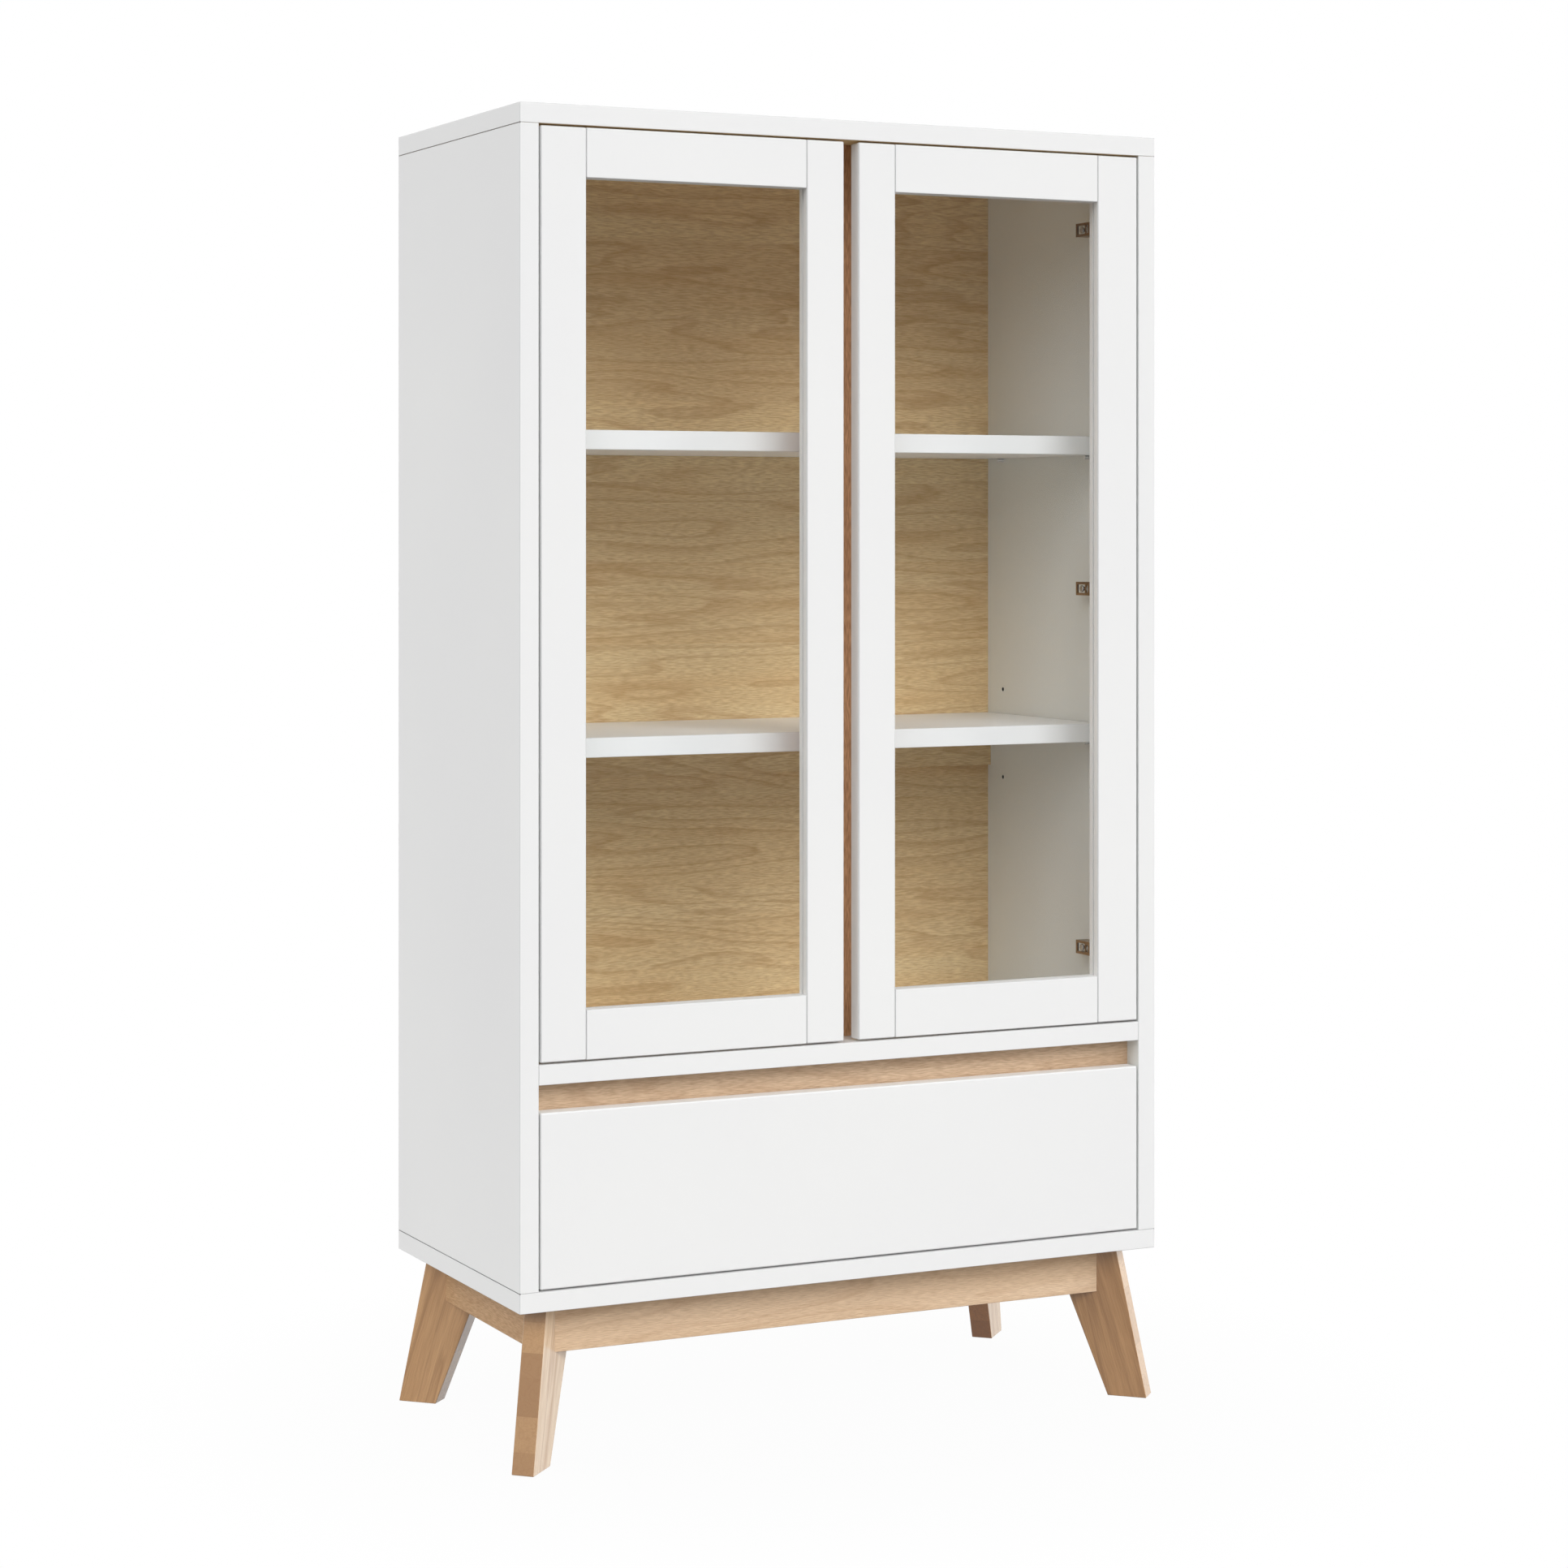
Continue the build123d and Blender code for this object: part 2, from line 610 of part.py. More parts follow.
STEP_IN = SLIDE_SHEET + SLIDE_CLEAR
SLIDE_HALF = SLIDE_H / 2
OUTER_REACH = SLIDE_SPACE - 2 * STEP_IN


def slide_screws(grow):
    face = INNER_LEFT + SLIDE_SHEET
    screws = []
    for y in (SLIDE_Y[0] + SLIDE_SCREW_INSET, sum(SLIDE_Y) / 2, SLIDE_Y[1] - SLIDE_SCREW_INSET):
        shank = rod_x((INNER_LEFT - SLIDE_SCREW_DEPTH - grow, face), y, SLIDE_MID_Z, SLIDE_SCREW_R + grow)
        head = rod_x((face, face + SLIDE_SCREW_HEAD_H), y, SLIDE_MID_Z, SLIDE_SCREW_HEAD_R)
        screws.append(shank + head)
    return screws


OUTER_MEMBER = cut(channel((0, OUTER_REACH), SLIDE_HALF, True), slide_screws(FIT))
MIDDLE_MEMBER = channel((STEP_IN, SLIDE_SPACE - STEP_IN), SLIDE_HALF - STEP_IN, True)
INNER_MEMBER = channel((2 * STEP_IN, SLIDE_SPACE), SLIDE_HALF - 2 * STEP_IN, False)
add("slide_outer_members", *both_sides([OUTER_MEMBER]))
add("slide_middle_members", *both_sides([MIDDLE_MEMBER]))
add("slide_inner_members", *both_sides([INNER_MEMBER]))
add("slide_screws", *both_sides(slide_screws(0)))

# Carcass

SIDE_HOLES = LEFT_JOINTS + shelf_pins(FIT) + spare_pin_holes() + slide_screws(FIT)
for height in HINGE_HEIGHTS:
    SIDE_HOLES += plate_screws(height, FIT)

FULL_X = (LEFT, -LEFT)
FULL_Y = (FRONT, BACK)
TOP_PANEL = rounded(FULL_X, FULL_Y, (INNER_TOP, TOP_Z), BOARD_ROUND)
BOTTOM_PANEL = rounded(FULL_X, FULL_Y, (FLOOR_Z, INNER_BOTTOM), BOARD_ROUND)
LEFT_PANEL = rounded((LEFT, INNER_LEFT), FULL_Y, (INNER_BOTTOM, INNER_TOP), BOARD_ROUND)
LEFT_PANEL = cut(LEFT_PANEL - BACK_SLOT, SIDE_HOLES)
MID_PANEL = rounded((INNER_LEFT, INNER_RIGHT), (FRONT, BACK_FACE), (MID_Z, MID_TOP), BOARD_ROUND)
add("top_panel", cut(TOP_PANEL - BACK_SLOT, ALL_JOINTS))
add("bottom_panel", cut(BOTTOM_PANEL - BACK_SLOT, ALL_JOINTS + LEG_SCREW_HOLES))
add("left_side_panel", LEFT_PANEL)
add("right_side_panel", mirror(LEFT_PANEL, about=Plane.YZ))
add("mid_panel", cut(MID_PANEL, ALL_JOINTS))
add("back_panel", block(
    (INNER_LEFT - GROOVE, INNER_RIGHT + GROOVE),
    (BACK_FACE, BACK_FACE + BACK_T),
    (INNER_BOTTOM - GROOVE, INNER_TOP + GROOVE),
))


def shelf(underside):
    x = (INNER_LEFT + SHELF_CLEAR, INNER_RIGHT - SHELF_CLEAR)
    y = (SHELF_FRONT, BACK_FACE - SHELF_CLEAR)
    return rounded(x, y, (underside, underside + SHELF_T), BOARD_ROUND)


add("upper_shelf", shelf(UPPER_SHELF_Z))
add("lower_shelf", shelf(LOWER_SHELF_Z))
add("shelf_pins", *both_sides(shelf_pins(0)))
add("back_batten", block(
    (INNER_LEFT, INNER_RIGHT),
    (BACK_FACE - BATTEN_T, BACK_FACE),
    (LOWER_SHELF_Z - BATTEN_H, LOWER_SHELF_Z),
))
add("centre_post", rounded(around(0, POST_W / 2), POST_Y, (MID_TOP, INNER_TOP), BOARD_ROUND))
add("finger_rail", block(
    (INNER_LEFT, INNER_RIGHT),
    (BOX_FRONT + RAIL_BEHIND_FRONT, BOX_FRONT + RAIL_BEHIND_FRONT + RAIL_T),
    (RAIL_Z, MID_Z),
))

add("hinge_plates", *both_sides([hinge_plate(z) for z in HINGE_HEIGHTS]))
add("hinge_plate_screws", *both_sides([screw for z in HINGE_HEIGHTS for screw in plate_screws(z, 0)]))
add("hinge_arms", *both_sides([hinge_arm(z) for z in HINGE_HEIGHTS]))
ARM_SCREWS = [arm_screw(z) for z in HINGE_HEIGHTS] + [side_screw(z) for z in HINGE_HEIGHTS]
add("hinge_arm_screws", *both_sides(ARM_SCREWS))
add("hinge_arm_pins", *both_sides([hinge_pin(behind_door(ARM_PIVOT), z) for z in HINGE_HEIGHTS]))

# Doors: the left one is drawn and the right one mirrors it

STILE_EDGE = DOOR_LEFT + HINGE_STILE_W
FREE_EDGE = DOOR_RIGHT - FREE_STILE_W
RAIL_LOW = DOOR_Z0 + DOOR_RAIL_H
RAIL_HIGH = DOOR_Z1 - DOOR_RAIL_H
PANE_FRONT = FRONT + GLASS_SETBACK
PANE_BACK = PANE_FRONT + GLASS_T
PANE_POCKET_X = (STILE_EDGE - REBATE_W, FREE_EDGE + REBATE_W)
PANE_POCKET_Z = (RAIL_LOW - REBATE_W, RAIL_HIGH + REBATE_W)
PANE_POCKET = block(PANE_POCKET_X, (PANE_FRONT, DOOR_BACK), PANE_POCKET_Z)
DOOR_Y = (FRONT, DOOR_BACK)
DOOR_Z = (DOOR_Z0, DOOR_Z1)
RAIL_X = (STILE_EDGE, FREE_EDGE)


def inset(span, amount):
    return (span[0] + amount, span[1] - amount)


PANE_X = inset(PANE_POCKET_X, GLASS_CLEAR)
PANE_Z = inset(PANE_POCKET_Z, GLASS_CLEAR)


def glass_beads():
    """Four bars that fill the rebate behind the pane."""
    y = (PANE_BACK, DOOR_BACK)
    bars = []
    for x in ((PANE_POCKET_X[0], STILE_EDGE), (FREE_EDGE, PANE_POCKET_X[1])):
        bars.append(block(x, y, PANE_POCKET_Z))
    for z in ((PANE_POCKET_Z[0], RAIL_LOW), (RAIL_HIGH, PANE_POCKET_Z[1])):
        bars.append(block(RAIL_X, y, z))
    return bars


HINGE_STILE = rounded((DOOR_LEFT, STILE_EDGE), DOOR_Y, DOOR_Z, STILE_ROUND) - PANE_POCKET
for height in HINGE_HEIGHTS:
    HINGE_STILE = cut(HINGE_STILE, [cup_pocket(height)] + cup_screws(height, FIT))

DOOR_PIECES = {
    "hinge_stile": [HINGE_STILE],
    "free_stile": [rounded((FREE_EDGE, DOOR_RIGHT), DOOR_Y, DOOR_Z, STILE_ROUND) - PANE_POCKET],
    "top_rail": [rounded(RAIL_X, DOOR_Y, (RAIL_HIGH, DOOR_Z1), DOOR_RAIL_ROUND) - PANE_POCKET],
    "bottom_rail": [rounded(RAIL_X, DOOR_Y, (DOOR_Z0, RAIL_LOW), DOOR_RAIL_ROUND) - PANE_POCKET],
    "glass": [block(PANE_X, (PANE_FRONT, PANE_BACK), PANE_Z)],
    "glass_beads": glass_beads(),
    "hinge_cups": [hinge_cup(z) for z in HINGE_HEIGHTS],
    "cup_screws": [screw for z in HINGE_HEIGHTS for screw in cup_screws(z, 0)],
    "cup_pins": [hinge_pin(in_cup(CUP_PIVOT), z) for z in HINGE_HEIGHTS],
    "hinge_links": [hinge_link(z) for z in HINGE_HEIGHTS],
}
for name, solids in DOOR_PIECES.items():
    add("left_" + name, *solids)
    add("right_" + name, *mirrored(solids))

# Drawer

BOX_INNER_LEFT = BOX_LEFT + DRAWER_BOARD
BOX_Z = (BOX_Z0, BOX_Z1)
FLOOR_SLOT = block(
    (BOX_INNER_LEFT - DRAWER_GROOVE - SLIP, -BOX_INNER_LEFT + DRAWER_GROOVE + SLIP),
    (BOX_FRONT - DRAWER_GROOVE - SLIP, BOX_BACK - DRAWER_BOARD + DRAWER_GROOVE + SLIP),
    (DRAWER_FLOOR_Z - SLIP, DRAWER_FLOOR_Z + DRAWER_FLOOR_T + SLIP),
)
DRAWER_DOWEL_Z = (BOX_Z0 + DRAWER_DOWEL_INSET, BOX_Z1 - DRAWER_DOWEL_INSET)
BOX_SIDE_MID = BOX_LEFT + DRAWER_BOARD / 2
BOX_BACK_MID = BOX_BACK - DRAWER_BOARD / 2


def drawer_dowels(grow):
    """Dowels of the left side: two into the front and two into the back."""
    radius = DRAWER_DOWEL_R + grow
    short = DRAWER_DOWEL_SHORT + grow
    long = DRAWER_DOWEL_LONG + grow
    rods = []
    for z in DRAWER_DOWEL_Z:
        rods.append(rod_y(BOX_SIDE_MID, (BOX_FRONT - short, BOX_FRONT + long), z, radius))
        rods.append(rod_x((BOX_INNER_LEFT - short, BOX_INNER_LEFT + long), BOX_BACK_MID, z, radius))
    return rods


DRAWER_HOLES = both_sides(drawer_dowels(FIT))
DRAWER_SIDE = block((BOX_LEFT, BOX_INNER_LEFT), (BOX_FRONT, BOX_BACK), BOX_Z)
DRAWER_SIDE = fillet(DRAWER_SIDE.edges().filter_by(Axis.Y).sort_by(Axis.Z)[-2:], BOARD_ROUND)
DRAWER_SIDE = cut(DRAWER_SIDE - FLOOR_SLOT, DRAWER_HOLES)
DRAWER_FRONT = rounded((DOOR_LEFT, -DOOR_LEFT), (FRONT, BOX_FRONT), (DRAWER_Z0, DRAWER_Z1), DRAWER_ROUND)
DRAWER_BACK = block((BOX_INNER_LEFT, -BOX_INNER_LEFT), (BOX_BACK - DRAWER_BOARD, BOX_BACK), BOX_Z)
add("drawer_front", cut(DRAWER_FRONT - FLOOR_SLOT, DRAWER_HOLES))
add("drawer_left_side", DRAWER_SIDE)
add("drawer_right_side", mirror(DRAWER_SIDE, about=Plane.YZ))
add("drawer_back", cut(DRAWER_BACK - FLOOR_SLOT, DRAWER_HOLES))
add("drawer_bottom", block(
    (BOX_INNER_LEFT - DRAWER_GROOVE, -BOX_INNER_LEFT + DRAWER_GROOVE),
    (BOX_FRONT - DRAWER_GROOVE, BOX_BACK - DRAWER_BOARD + DRAWER_GROOVE),
    (DRAWER_FLOOR_Z, DRAWER_FLOOR_Z + DRAWER_FLOOR_T),
))
add("drawer_dowels", *both_sides(drawer_dowels(0)))

os.makedirs("parts", exist_ok=True)
for name, shape in NODES.items():
    export_step(shape, os.path.join("parts", name + ".step"))
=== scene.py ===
# %% [markdown]
# # A glazed cabinet on splayed legs
# The cabinet is flat-pack furniture: white lacquered boards, two framed glass doors, one drawer pulled
# by its top edge, and a base of four tapered legs and four aprons in pale wood. Every board is already
# a solid of the right size, so this lesson is about finishes, small fittings, light and the camera.

# %% Load the solids
import math

import bmesh
import bpy
from mathutils import Matrix, Vector


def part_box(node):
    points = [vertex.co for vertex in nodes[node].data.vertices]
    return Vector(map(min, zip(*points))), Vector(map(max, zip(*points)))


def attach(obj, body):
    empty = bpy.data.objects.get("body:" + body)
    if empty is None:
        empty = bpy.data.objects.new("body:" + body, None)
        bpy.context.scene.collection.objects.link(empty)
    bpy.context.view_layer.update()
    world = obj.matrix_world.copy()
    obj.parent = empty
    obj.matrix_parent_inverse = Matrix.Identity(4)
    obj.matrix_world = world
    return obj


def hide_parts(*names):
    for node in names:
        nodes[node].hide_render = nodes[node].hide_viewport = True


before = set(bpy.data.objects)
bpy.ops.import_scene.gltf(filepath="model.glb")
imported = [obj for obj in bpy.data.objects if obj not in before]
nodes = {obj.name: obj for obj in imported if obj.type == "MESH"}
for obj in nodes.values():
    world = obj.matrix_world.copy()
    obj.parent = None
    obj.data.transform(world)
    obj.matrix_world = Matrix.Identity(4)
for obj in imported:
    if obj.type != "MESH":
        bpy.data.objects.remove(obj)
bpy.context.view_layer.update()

scene = bpy.context.scene

# %% [markdown]
# ## Building materials from nodes
# A finish is a small graph of nodes. A few helpers keep the graphs short: one adds a node and fills its
# sockets, and the others do arithmetic, mix colours or make patterns. A socket is given a number, a
# colour, or another node's output, and the helper works out whether to set it or to link it.


# %% Node helpers
def feed(tree, socket, value):
    if isinstance(value, bpy.types.NodeSocket):
        tree.links.new(value, socket)
    else:
        socket.default_value = value


def add_node(tree, kind, settings=None, inputs=None):
    node = tree.nodes.new(kind)
    for name, value in (settings or {}).items():
        setattr(node, name, value)
    for name, value in (inputs or {}).items():
        feed(tree, node.inputs[name], value)
    return node


def calculate(tree, operation, first, second=0.0):
    node = add_node(tree, "ShaderNodeMath", {"operation": operation}, {0: first, 1: second})
    return node.outputs[0]


def mix_colour(tree, factor, first, second):
    node = add_node(tree, "ShaderNodeMix", {"data_type": "RGBA", "blend_type": "MIX"})
    for index, value in ((0, factor), (6, first), (7, second)):
        feed(tree, node.inputs[index], value)
    return node.outputs[2]


def tint(tree, colour, mask, share, tone):
    """Lay a tone over a colour, as strongly as a share of a mask."""
    return mix_colour(tree, calculate(tree, "MULTIPLY", mask, share), colour, tone)


def remap(tree, value, span, to_span=(0.0, 1.0)):
    """Stretch one span of values over another, and stop at its ends."""
    ends = {"From Min": span[0], "From Max": span[1], "To Min": to_span[0], "To Max": to_span[1]}
    node = add_node(tree, "ShaderNodeMapRange", {"clamp": True}, {"Value": value, **ends})
    return node.outputs[0]


def noise(tree, vector, scale, detail=2.0, roughness=0.5):
    sizes = {"Vector": vector, "Scale": scale, "Detail": detail, "Roughness": roughness}
    return add_node(tree, "ShaderNodeTexNoise", None, sizes).outputs[0]


def combine(tree, x, y, z):
    return add_node(tree, "ShaderNodeCombineXYZ", None, {"X": x, "Y": y, "Z": z}).outputs[0]


def separate(tree, vector):
    return add_node(tree, "ShaderNodeSeparateXYZ", None, {0: vector}).outputs


def vector_math(tree, operation, *inputs):
    node = add_node(tree, "ShaderNodeVectorMath", {"operation": operation}, dict(enumerate(inputs)))
    return node.outputs["Value"] if operation in ("DOT_PRODUCT", "LENGTH") else node.outputs[0]


# %% [markdown]
# ## From a graph to a finish
# Colours are written as a screen shows them, and turned into the linear values that shaders use. An
# effect that several finishes share becomes a node group. A finish is one material with one shader, and
# dressing a solid means putting that material on its mesh.


# %% Material helpers
def srgb(red, green, blue):
    """A colour as a screen shows it, 0 to 255, turned into linear values."""
    def linear(level):
        share = level / 255
        return share / 12.92 if share <= 0.04045 else ((share + 0.055) / 1.055) ** 2.4

    return (linear(red), linear(green), linear(blue), 1.0)


def tones(*colours):
    return tuple(srgb(*colour) for colour in colours)


def new_group(name, inputs, outputs):
    """An empty node group; returns the group, its start and its end."""
    group = bpy.data.node_groups.new(name, "ShaderNodeTree")
    for label, kind in inputs:
        group.interface.new_socket(label, in_out="INPUT", socket_type=kind)
    for label in outputs:
        group.interface.new_socket(label, in_out="OUTPUT", socket_type="NodeSocketFloat")
    return group, group.nodes.new("NodeGroupInput"), group.nodes.new("NodeGroupOutput")


def place_group(tree, group, inputs):
    return add_node(tree, "ShaderNodeGroup", {"node_tree": group}, inputs).outputs


def new_material(name):
    material = bpy.data.materials.new(name)
    material.use_nodes = True
    tree = material.node_tree
    return material, tree, tree.nodes["Principled BSDF"]


def object_place(tree):
    return add_node(tree, "ShaderNodeTexCoord").outputs["Object"]


def object_normal(tree):
    return add_node(tree, "ShaderNodeTexCoord").outputs["Normal"]


def add_bump(tree, shader, height, distance):
    settings = {"Height": height, "Distance": distance, "Strength": 1.0}
    bump = add_node(tree, "ShaderNodeBump", None, settings)
    tree.links.new(bump.outputs[0], shader.inputs["Normal"])


def dress(material, *names):
    """Give carried-over solids their finish."""
    for name in names:
        mesh = nodes[name].data
        mesh.materials.clear()
        mesh.materials.append(material)
    print(material.name, "on", ", ".join(names))


# %% [markdown]
# ## Wood figure
# Sawn wood shows three things at once. Growth rings run as nested arches, and they are the contour
# lines of a soft hill that is stretched along the grain. Fibres are short wavy dashes, and pores are
# thinner and darker. One node group works them out from grain coordinates, with X along the grain,
# Y across the board and Z into it, so the same group serves every board whichever way it is cut.

# %% Wood figure group
WOOD_INPUTS = (
    ("Grain", "NodeSocketVector"),
    ("Arch Length", "NodeSocketFloat"),
    ("Arch Width", "NodeSocketFloat"),
    ("Rings", "NodeSocketFloat"),
    ("Fibre Length", "NodeSocketFloat"),
    ("Fibre Width", "NodeSocketFloat"),
)
WOOD_OUTPUTS = ("Rings", "Fibre", "Pores", "Broad")
RING_STOPS = ((0.0, 0.0), (0.6, 0.12), (0.9, 1.0), (1.0, 0.0))
WAVE_SIZE = 0.022
WAVE_SHIFT = 0.0032
PORE_SLIMNESS = 0.6
BROAD_SLIMNESS = 0.5
FIBRE_SPAN = (0.36, 0.66)
PORE_SPAN = (0.58, 0.74)
BROAD_SPAN = (0.3, 0.7)

wood_figure, start, end = new_group("sawn wood figure", WOOD_INPUTS, WOOD_OUTPUTS)
along, across, into = separate(wood_figure, start.outputs["Grain"])
arch_length, arch_width = start.outputs["Arch Length"], start.outputs["Arch Width"]
fibre_length, fibre_width = start.outputs["Fibre Length"], start.outputs["Fibre Width"]


def wood_maths(operation, first, second):
    return calculate(wood_figure, operation, first, second)


def stretched(length, width, side=across):
    """Grain coordinates counted in lengths along the grain and widths across it."""
    pairs = ((along, length), (side, width), (into, width))
    return combine(wood_figure, *[wood_maths("DIVIDE", place, size) for place, size in pairs])


hill = noise(wood_figure, stretched(arch_length, arch_width), 1.0, 2.0, 0.42)
ring = calculate(wood_figure, "FRACT", wood_maths("MULTIPLY", hill, start.outputs["Rings"]))
ring_ramp = add_node(wood_figure, "ShaderNodeValToRGB", None, {0: ring})
stops = ring_ramp.color_ramp.elements
for place, level in RING_STOPS[1:-1]:
    stops.new(place)
for stop, (place, level) in zip(stops, RING_STOPS):
    stop.position = place
    stop.color = (level, level, level, 1.0)

wave = noise(wood_figure, combine(wood_figure, along, across, into), 1 / WAVE_SIZE, 1.0)
wave = wood_maths("MULTIPLY", wood_maths("SUBTRACT", wave, 0.5), WAVE_SHIFT)
wavy = wood_maths("ADD", across, wave)
fibre = noise(wood_figure, stretched(fibre_length, fibre_width, wavy), 1.0, 1.5)
pore_width = wood_maths("MULTIPLY", fibre_width, PORE_SLIMNESS)
pores = noise(wood_figure, stretched(fibre_length, pore_width, wavy), 1.0, 1.0)
broad_width = wood_maths("MULTIPLY", arch_width, BROAD_SLIMNESS)
broad = noise(wood_figure, stretched(arch_length, broad_width), 1.0, 3.0, 0.55)

wood_figure.links.new(ring_ramp.outputs[0], end.inputs["Rings"])
wood_figure.links.new(remap(wood_figure, fibre, FIBRE_SPAN), end.inputs["Fibre"])
wood_figure.links.new(remap(wood_figure, pores, PORE_SPAN), end.inputs["Pores"])
wood_figure.links.new(remap(wood_figure, broad, BROAD_SPAN), end.inputs["Broad"])
print("wood group has", len(wood_figure.nodes), "nodes")

# %% [markdown]
# ## Wood-look board
# The aprons, the rail behind the finger gap, the post behind the doors and the back panel share one
# printed oak look: honey brown, with soft arches and a dense, wavy, slightly raised grain. Only tone and
# the way the grain runs differ, so each material turns its coordinates with three dot products. The back
# panel is printed as a stack of planks, and each plank has its own figure and tone.

# %% Wood-look board
BOARD_FIGURE = {
    "Arch Length": 0.5,
    "Arch Width": 0.06,
    "Rings": 9.0,
    "Fibre Length": 0.012,
    "Fibre Width": 0.0011,
}
PORE_SHARE = 0.25
BOARD_GLOSS = (0.42, 0.56)
BOARD_RELIEF = 0.00012
WOOD_IOR = 1.3
PLANK_TOP = 1.564
PLANK_HEIGHT = 0.0978
PLANK_SHIFT = 2.0
PLANK_TONE = 0.22
FULL = (0.0, 1.0)


def grain_space(tree, place, axes):
    """Coordinates counted along the given three directions."""
    return combine(tree, *[vector_math(tree, "DOT_PRODUCT", place, tuple(axis)) for axis in axes])


def own_plank(tree):
    """Random numbers that stay the same over each plank of the back panel."""
    height = separate(tree, object_place(tree))["Z"]
    drop = calculate(tree, "DIVIDE", calculate(tree, "SUBTRACT", PLANK_TOP, height), PLANK_HEIGHT)
    count = calculate(tree, "FLOOR", drop)
    settings = {"noise_dimensions": "1D"}
    return add_node(tree, "ShaderNodeTexWhiteNoise", settings, {"W": count}).outputs


def printed_oak(tree, figure, colours, dash, arch):
    """The print's colour; dash and arch say how strong its marks are."""
    pale, deep, ring_tone, fibre_tone = colours
    colour = mix_colour(tree, figure["Broad"], pale, deep)
    colour = tint(tree, colour, figure["Rings"], arch, ring_tone)
    colour = tint(tree, colour, figure["Fibre"], dash, fibre_tone)
    return tint(tree, colour, figure["Pores"], PORE_SHARE, ring_tone)


def wood_board(name, axes, colours, dash, arch, planks=False):
    """A board covered with printed oak, with the grain along the first axis."""
    material, tree, shader = new_material(name)
    grain = grain_space(tree, object_place(tree), axes)
    if planks:
        plank = own_plank(tree)
        grain = vector_math(tree, "MULTIPLY_ADD", plank["Color"], (PLANK_SHIFT,) * 3, grain)
    figure = place_group(tree, wood_figure, {"Grain": grain, **BOARD_FIGURE})
    colour = printed_oak(tree, figure, colours, dash, arch)
    if planks:
        ring_tone = colours[2]
        colour = tint(tree, colour, plank["Value"], PLANK_TONE, ring_tone)
    tree.links.new(colour, shader.inputs["Base Color"])
    tree.links.new(remap(tree, figure["Fibre"], FULL, BOARD_GLOSS), shader.inputs["Roughness"])
    shader.inputs["IOR"].default_value = WOOD_IOR
    relief = calculate(tree, "ADD", figure["Fibre"], figure["Pores"])
    add_bump(tree, shader, calculate(tree, "MULTIPLY", relief, -1.0), BOARD_RELIEF)
    return material


# %% [markdown]
# ## Boards in wood look
# Four tones make one board: the pale and the deep ground, the rings and the fibres. They differ from
# board to board as they do from one roll of printed foil to the next. The post stands in the shade of the
# gap between the doors, and its warmer, darker tones are painted shade. The hidden dowels are turned from
# wood as well.

# %% Boards in wood look
X_AXIS, Y_AXIS, Z_AXIS = (1, 0, 0), (0, 1, 0), (0, 0, 1)
ACROSS = (X_AXIS, Z_AXIS, Y_AXIS)
DEEP = (Y_AXIS, Z_AXIS, X_AXIS)
UPRIGHT = (Z_AXIS, X_AXIS, Y_AXIS)
FLAT = (X_AXIS, Y_AXIS, Z_AXIS)
BACK_MARKS = {"dash": 0.5, "arch": 0.45}
BACK_TONES = tones((254, 232, 184), (246, 216, 164), (198, 152, 99), (186, 144, 91))
APRON_TONES = tones((243, 214, 182), (231, 200, 166), (194, 153, 116), (176, 138, 102))
RAIL_TONES = tones((226, 198, 168), (212, 183, 152), (178, 141, 107), (160, 125, 94))
SIDE_APRON_TONES = tones((215, 177, 136), (201, 162, 121), (178, 135, 95), (162, 124, 86))
# The post's darker, warmer tones are painted shade for the gap between the doors.
POST_SHADE_TONES = tones((230, 180, 137), (212, 164, 123), (172, 124, 90), (160, 114, 80))

back_board = wood_board("back board", ACROSS, BACK_TONES, **BACK_MARKS, planks=True)
dress(back_board, "back_panel", "back_batten")
apron_board = wood_board("apron board across", ACROSS, APRON_TONES, dash=0.32, arch=0.28)
dress(apron_board, "front_apron", "back_apron")
side_apron_board = wood_board("apron board deep", DEEP, SIDE_APRON_TONES, dash=0.6, arch=0.28)
dress(side_apron_board, "left_apron", "right_apron")
dress(wood_board("rail board", ACROSS, RAIL_TONES, dash=0.45, arch=0.28), "finger_rail")
dress(wood_board("post board", UPRIGHT, POST_SHADE_TONES, dash=0.7, arch=0.3), "centre_post")
dowel_wood = wood_board("dowel wood", UPRIGHT, APRON_TONES, dash=0.5, arch=0.3)
dress(dowel_wood, "carcass_dowels", "apron_dowels", "drawer_dowels")

# %% [markdown]
# ## Solid legs
# The legs are solid, glued up from short lengths. Their broad faces show long straight grain, and their
# narrow faces show the ends of the lengths as a stack of blocks, each with its own curl and tone. The
# face's own normal says which of the two to show. A leg stands on a diagonal and leans, so its grain
# follows the middle line between its two edges. Each leg has its own tones, which differ as timber does
# and also hold painted light and shade for how each leg is lit: the front right leg is painted darker on
# its broad faces and paler on its narrow ones.

# %% Solid legs
# Each leg's tones hold painted light and shade, set to how brightly that leg is lit, besides timber that
# differs.
LEG_LIT_TONES = {
    "front_left": tones((248, 228, 202), (228, 199, 165), (158, 106, 62), (178, 139, 96), (150, 111, 72)),
    "front_right": tones((188, 144, 98), (161, 119, 75), (112, 73, 38), (232, 196, 156), (214, 176, 136)),
    "back_left": tones((207, 162, 114), (182, 138, 91), (129, 87, 46), (181, 141, 97), (150, 111, 72)),
    "back_right": tones((248, 222, 190), (230, 198, 160), (170, 120, 78), (204, 138, 78), (156, 98, 50)),
}
OUTWARD = {"front_left": (-1, -1), "front_right": (1, -1), "back_left": (-1, 1), "back_right": (1, 1)}
BLOCK_RING = srgb(140, 96, 58)
LEG_LEAN = 0.3
LEG_FIGURE = {
    "Arch Length": 0.5,
    "Arch Width": 0.03,
    "Rings": 5.0,
    "Fibre Length": 0.03,
    "Fibre Width": 0.0012,
}
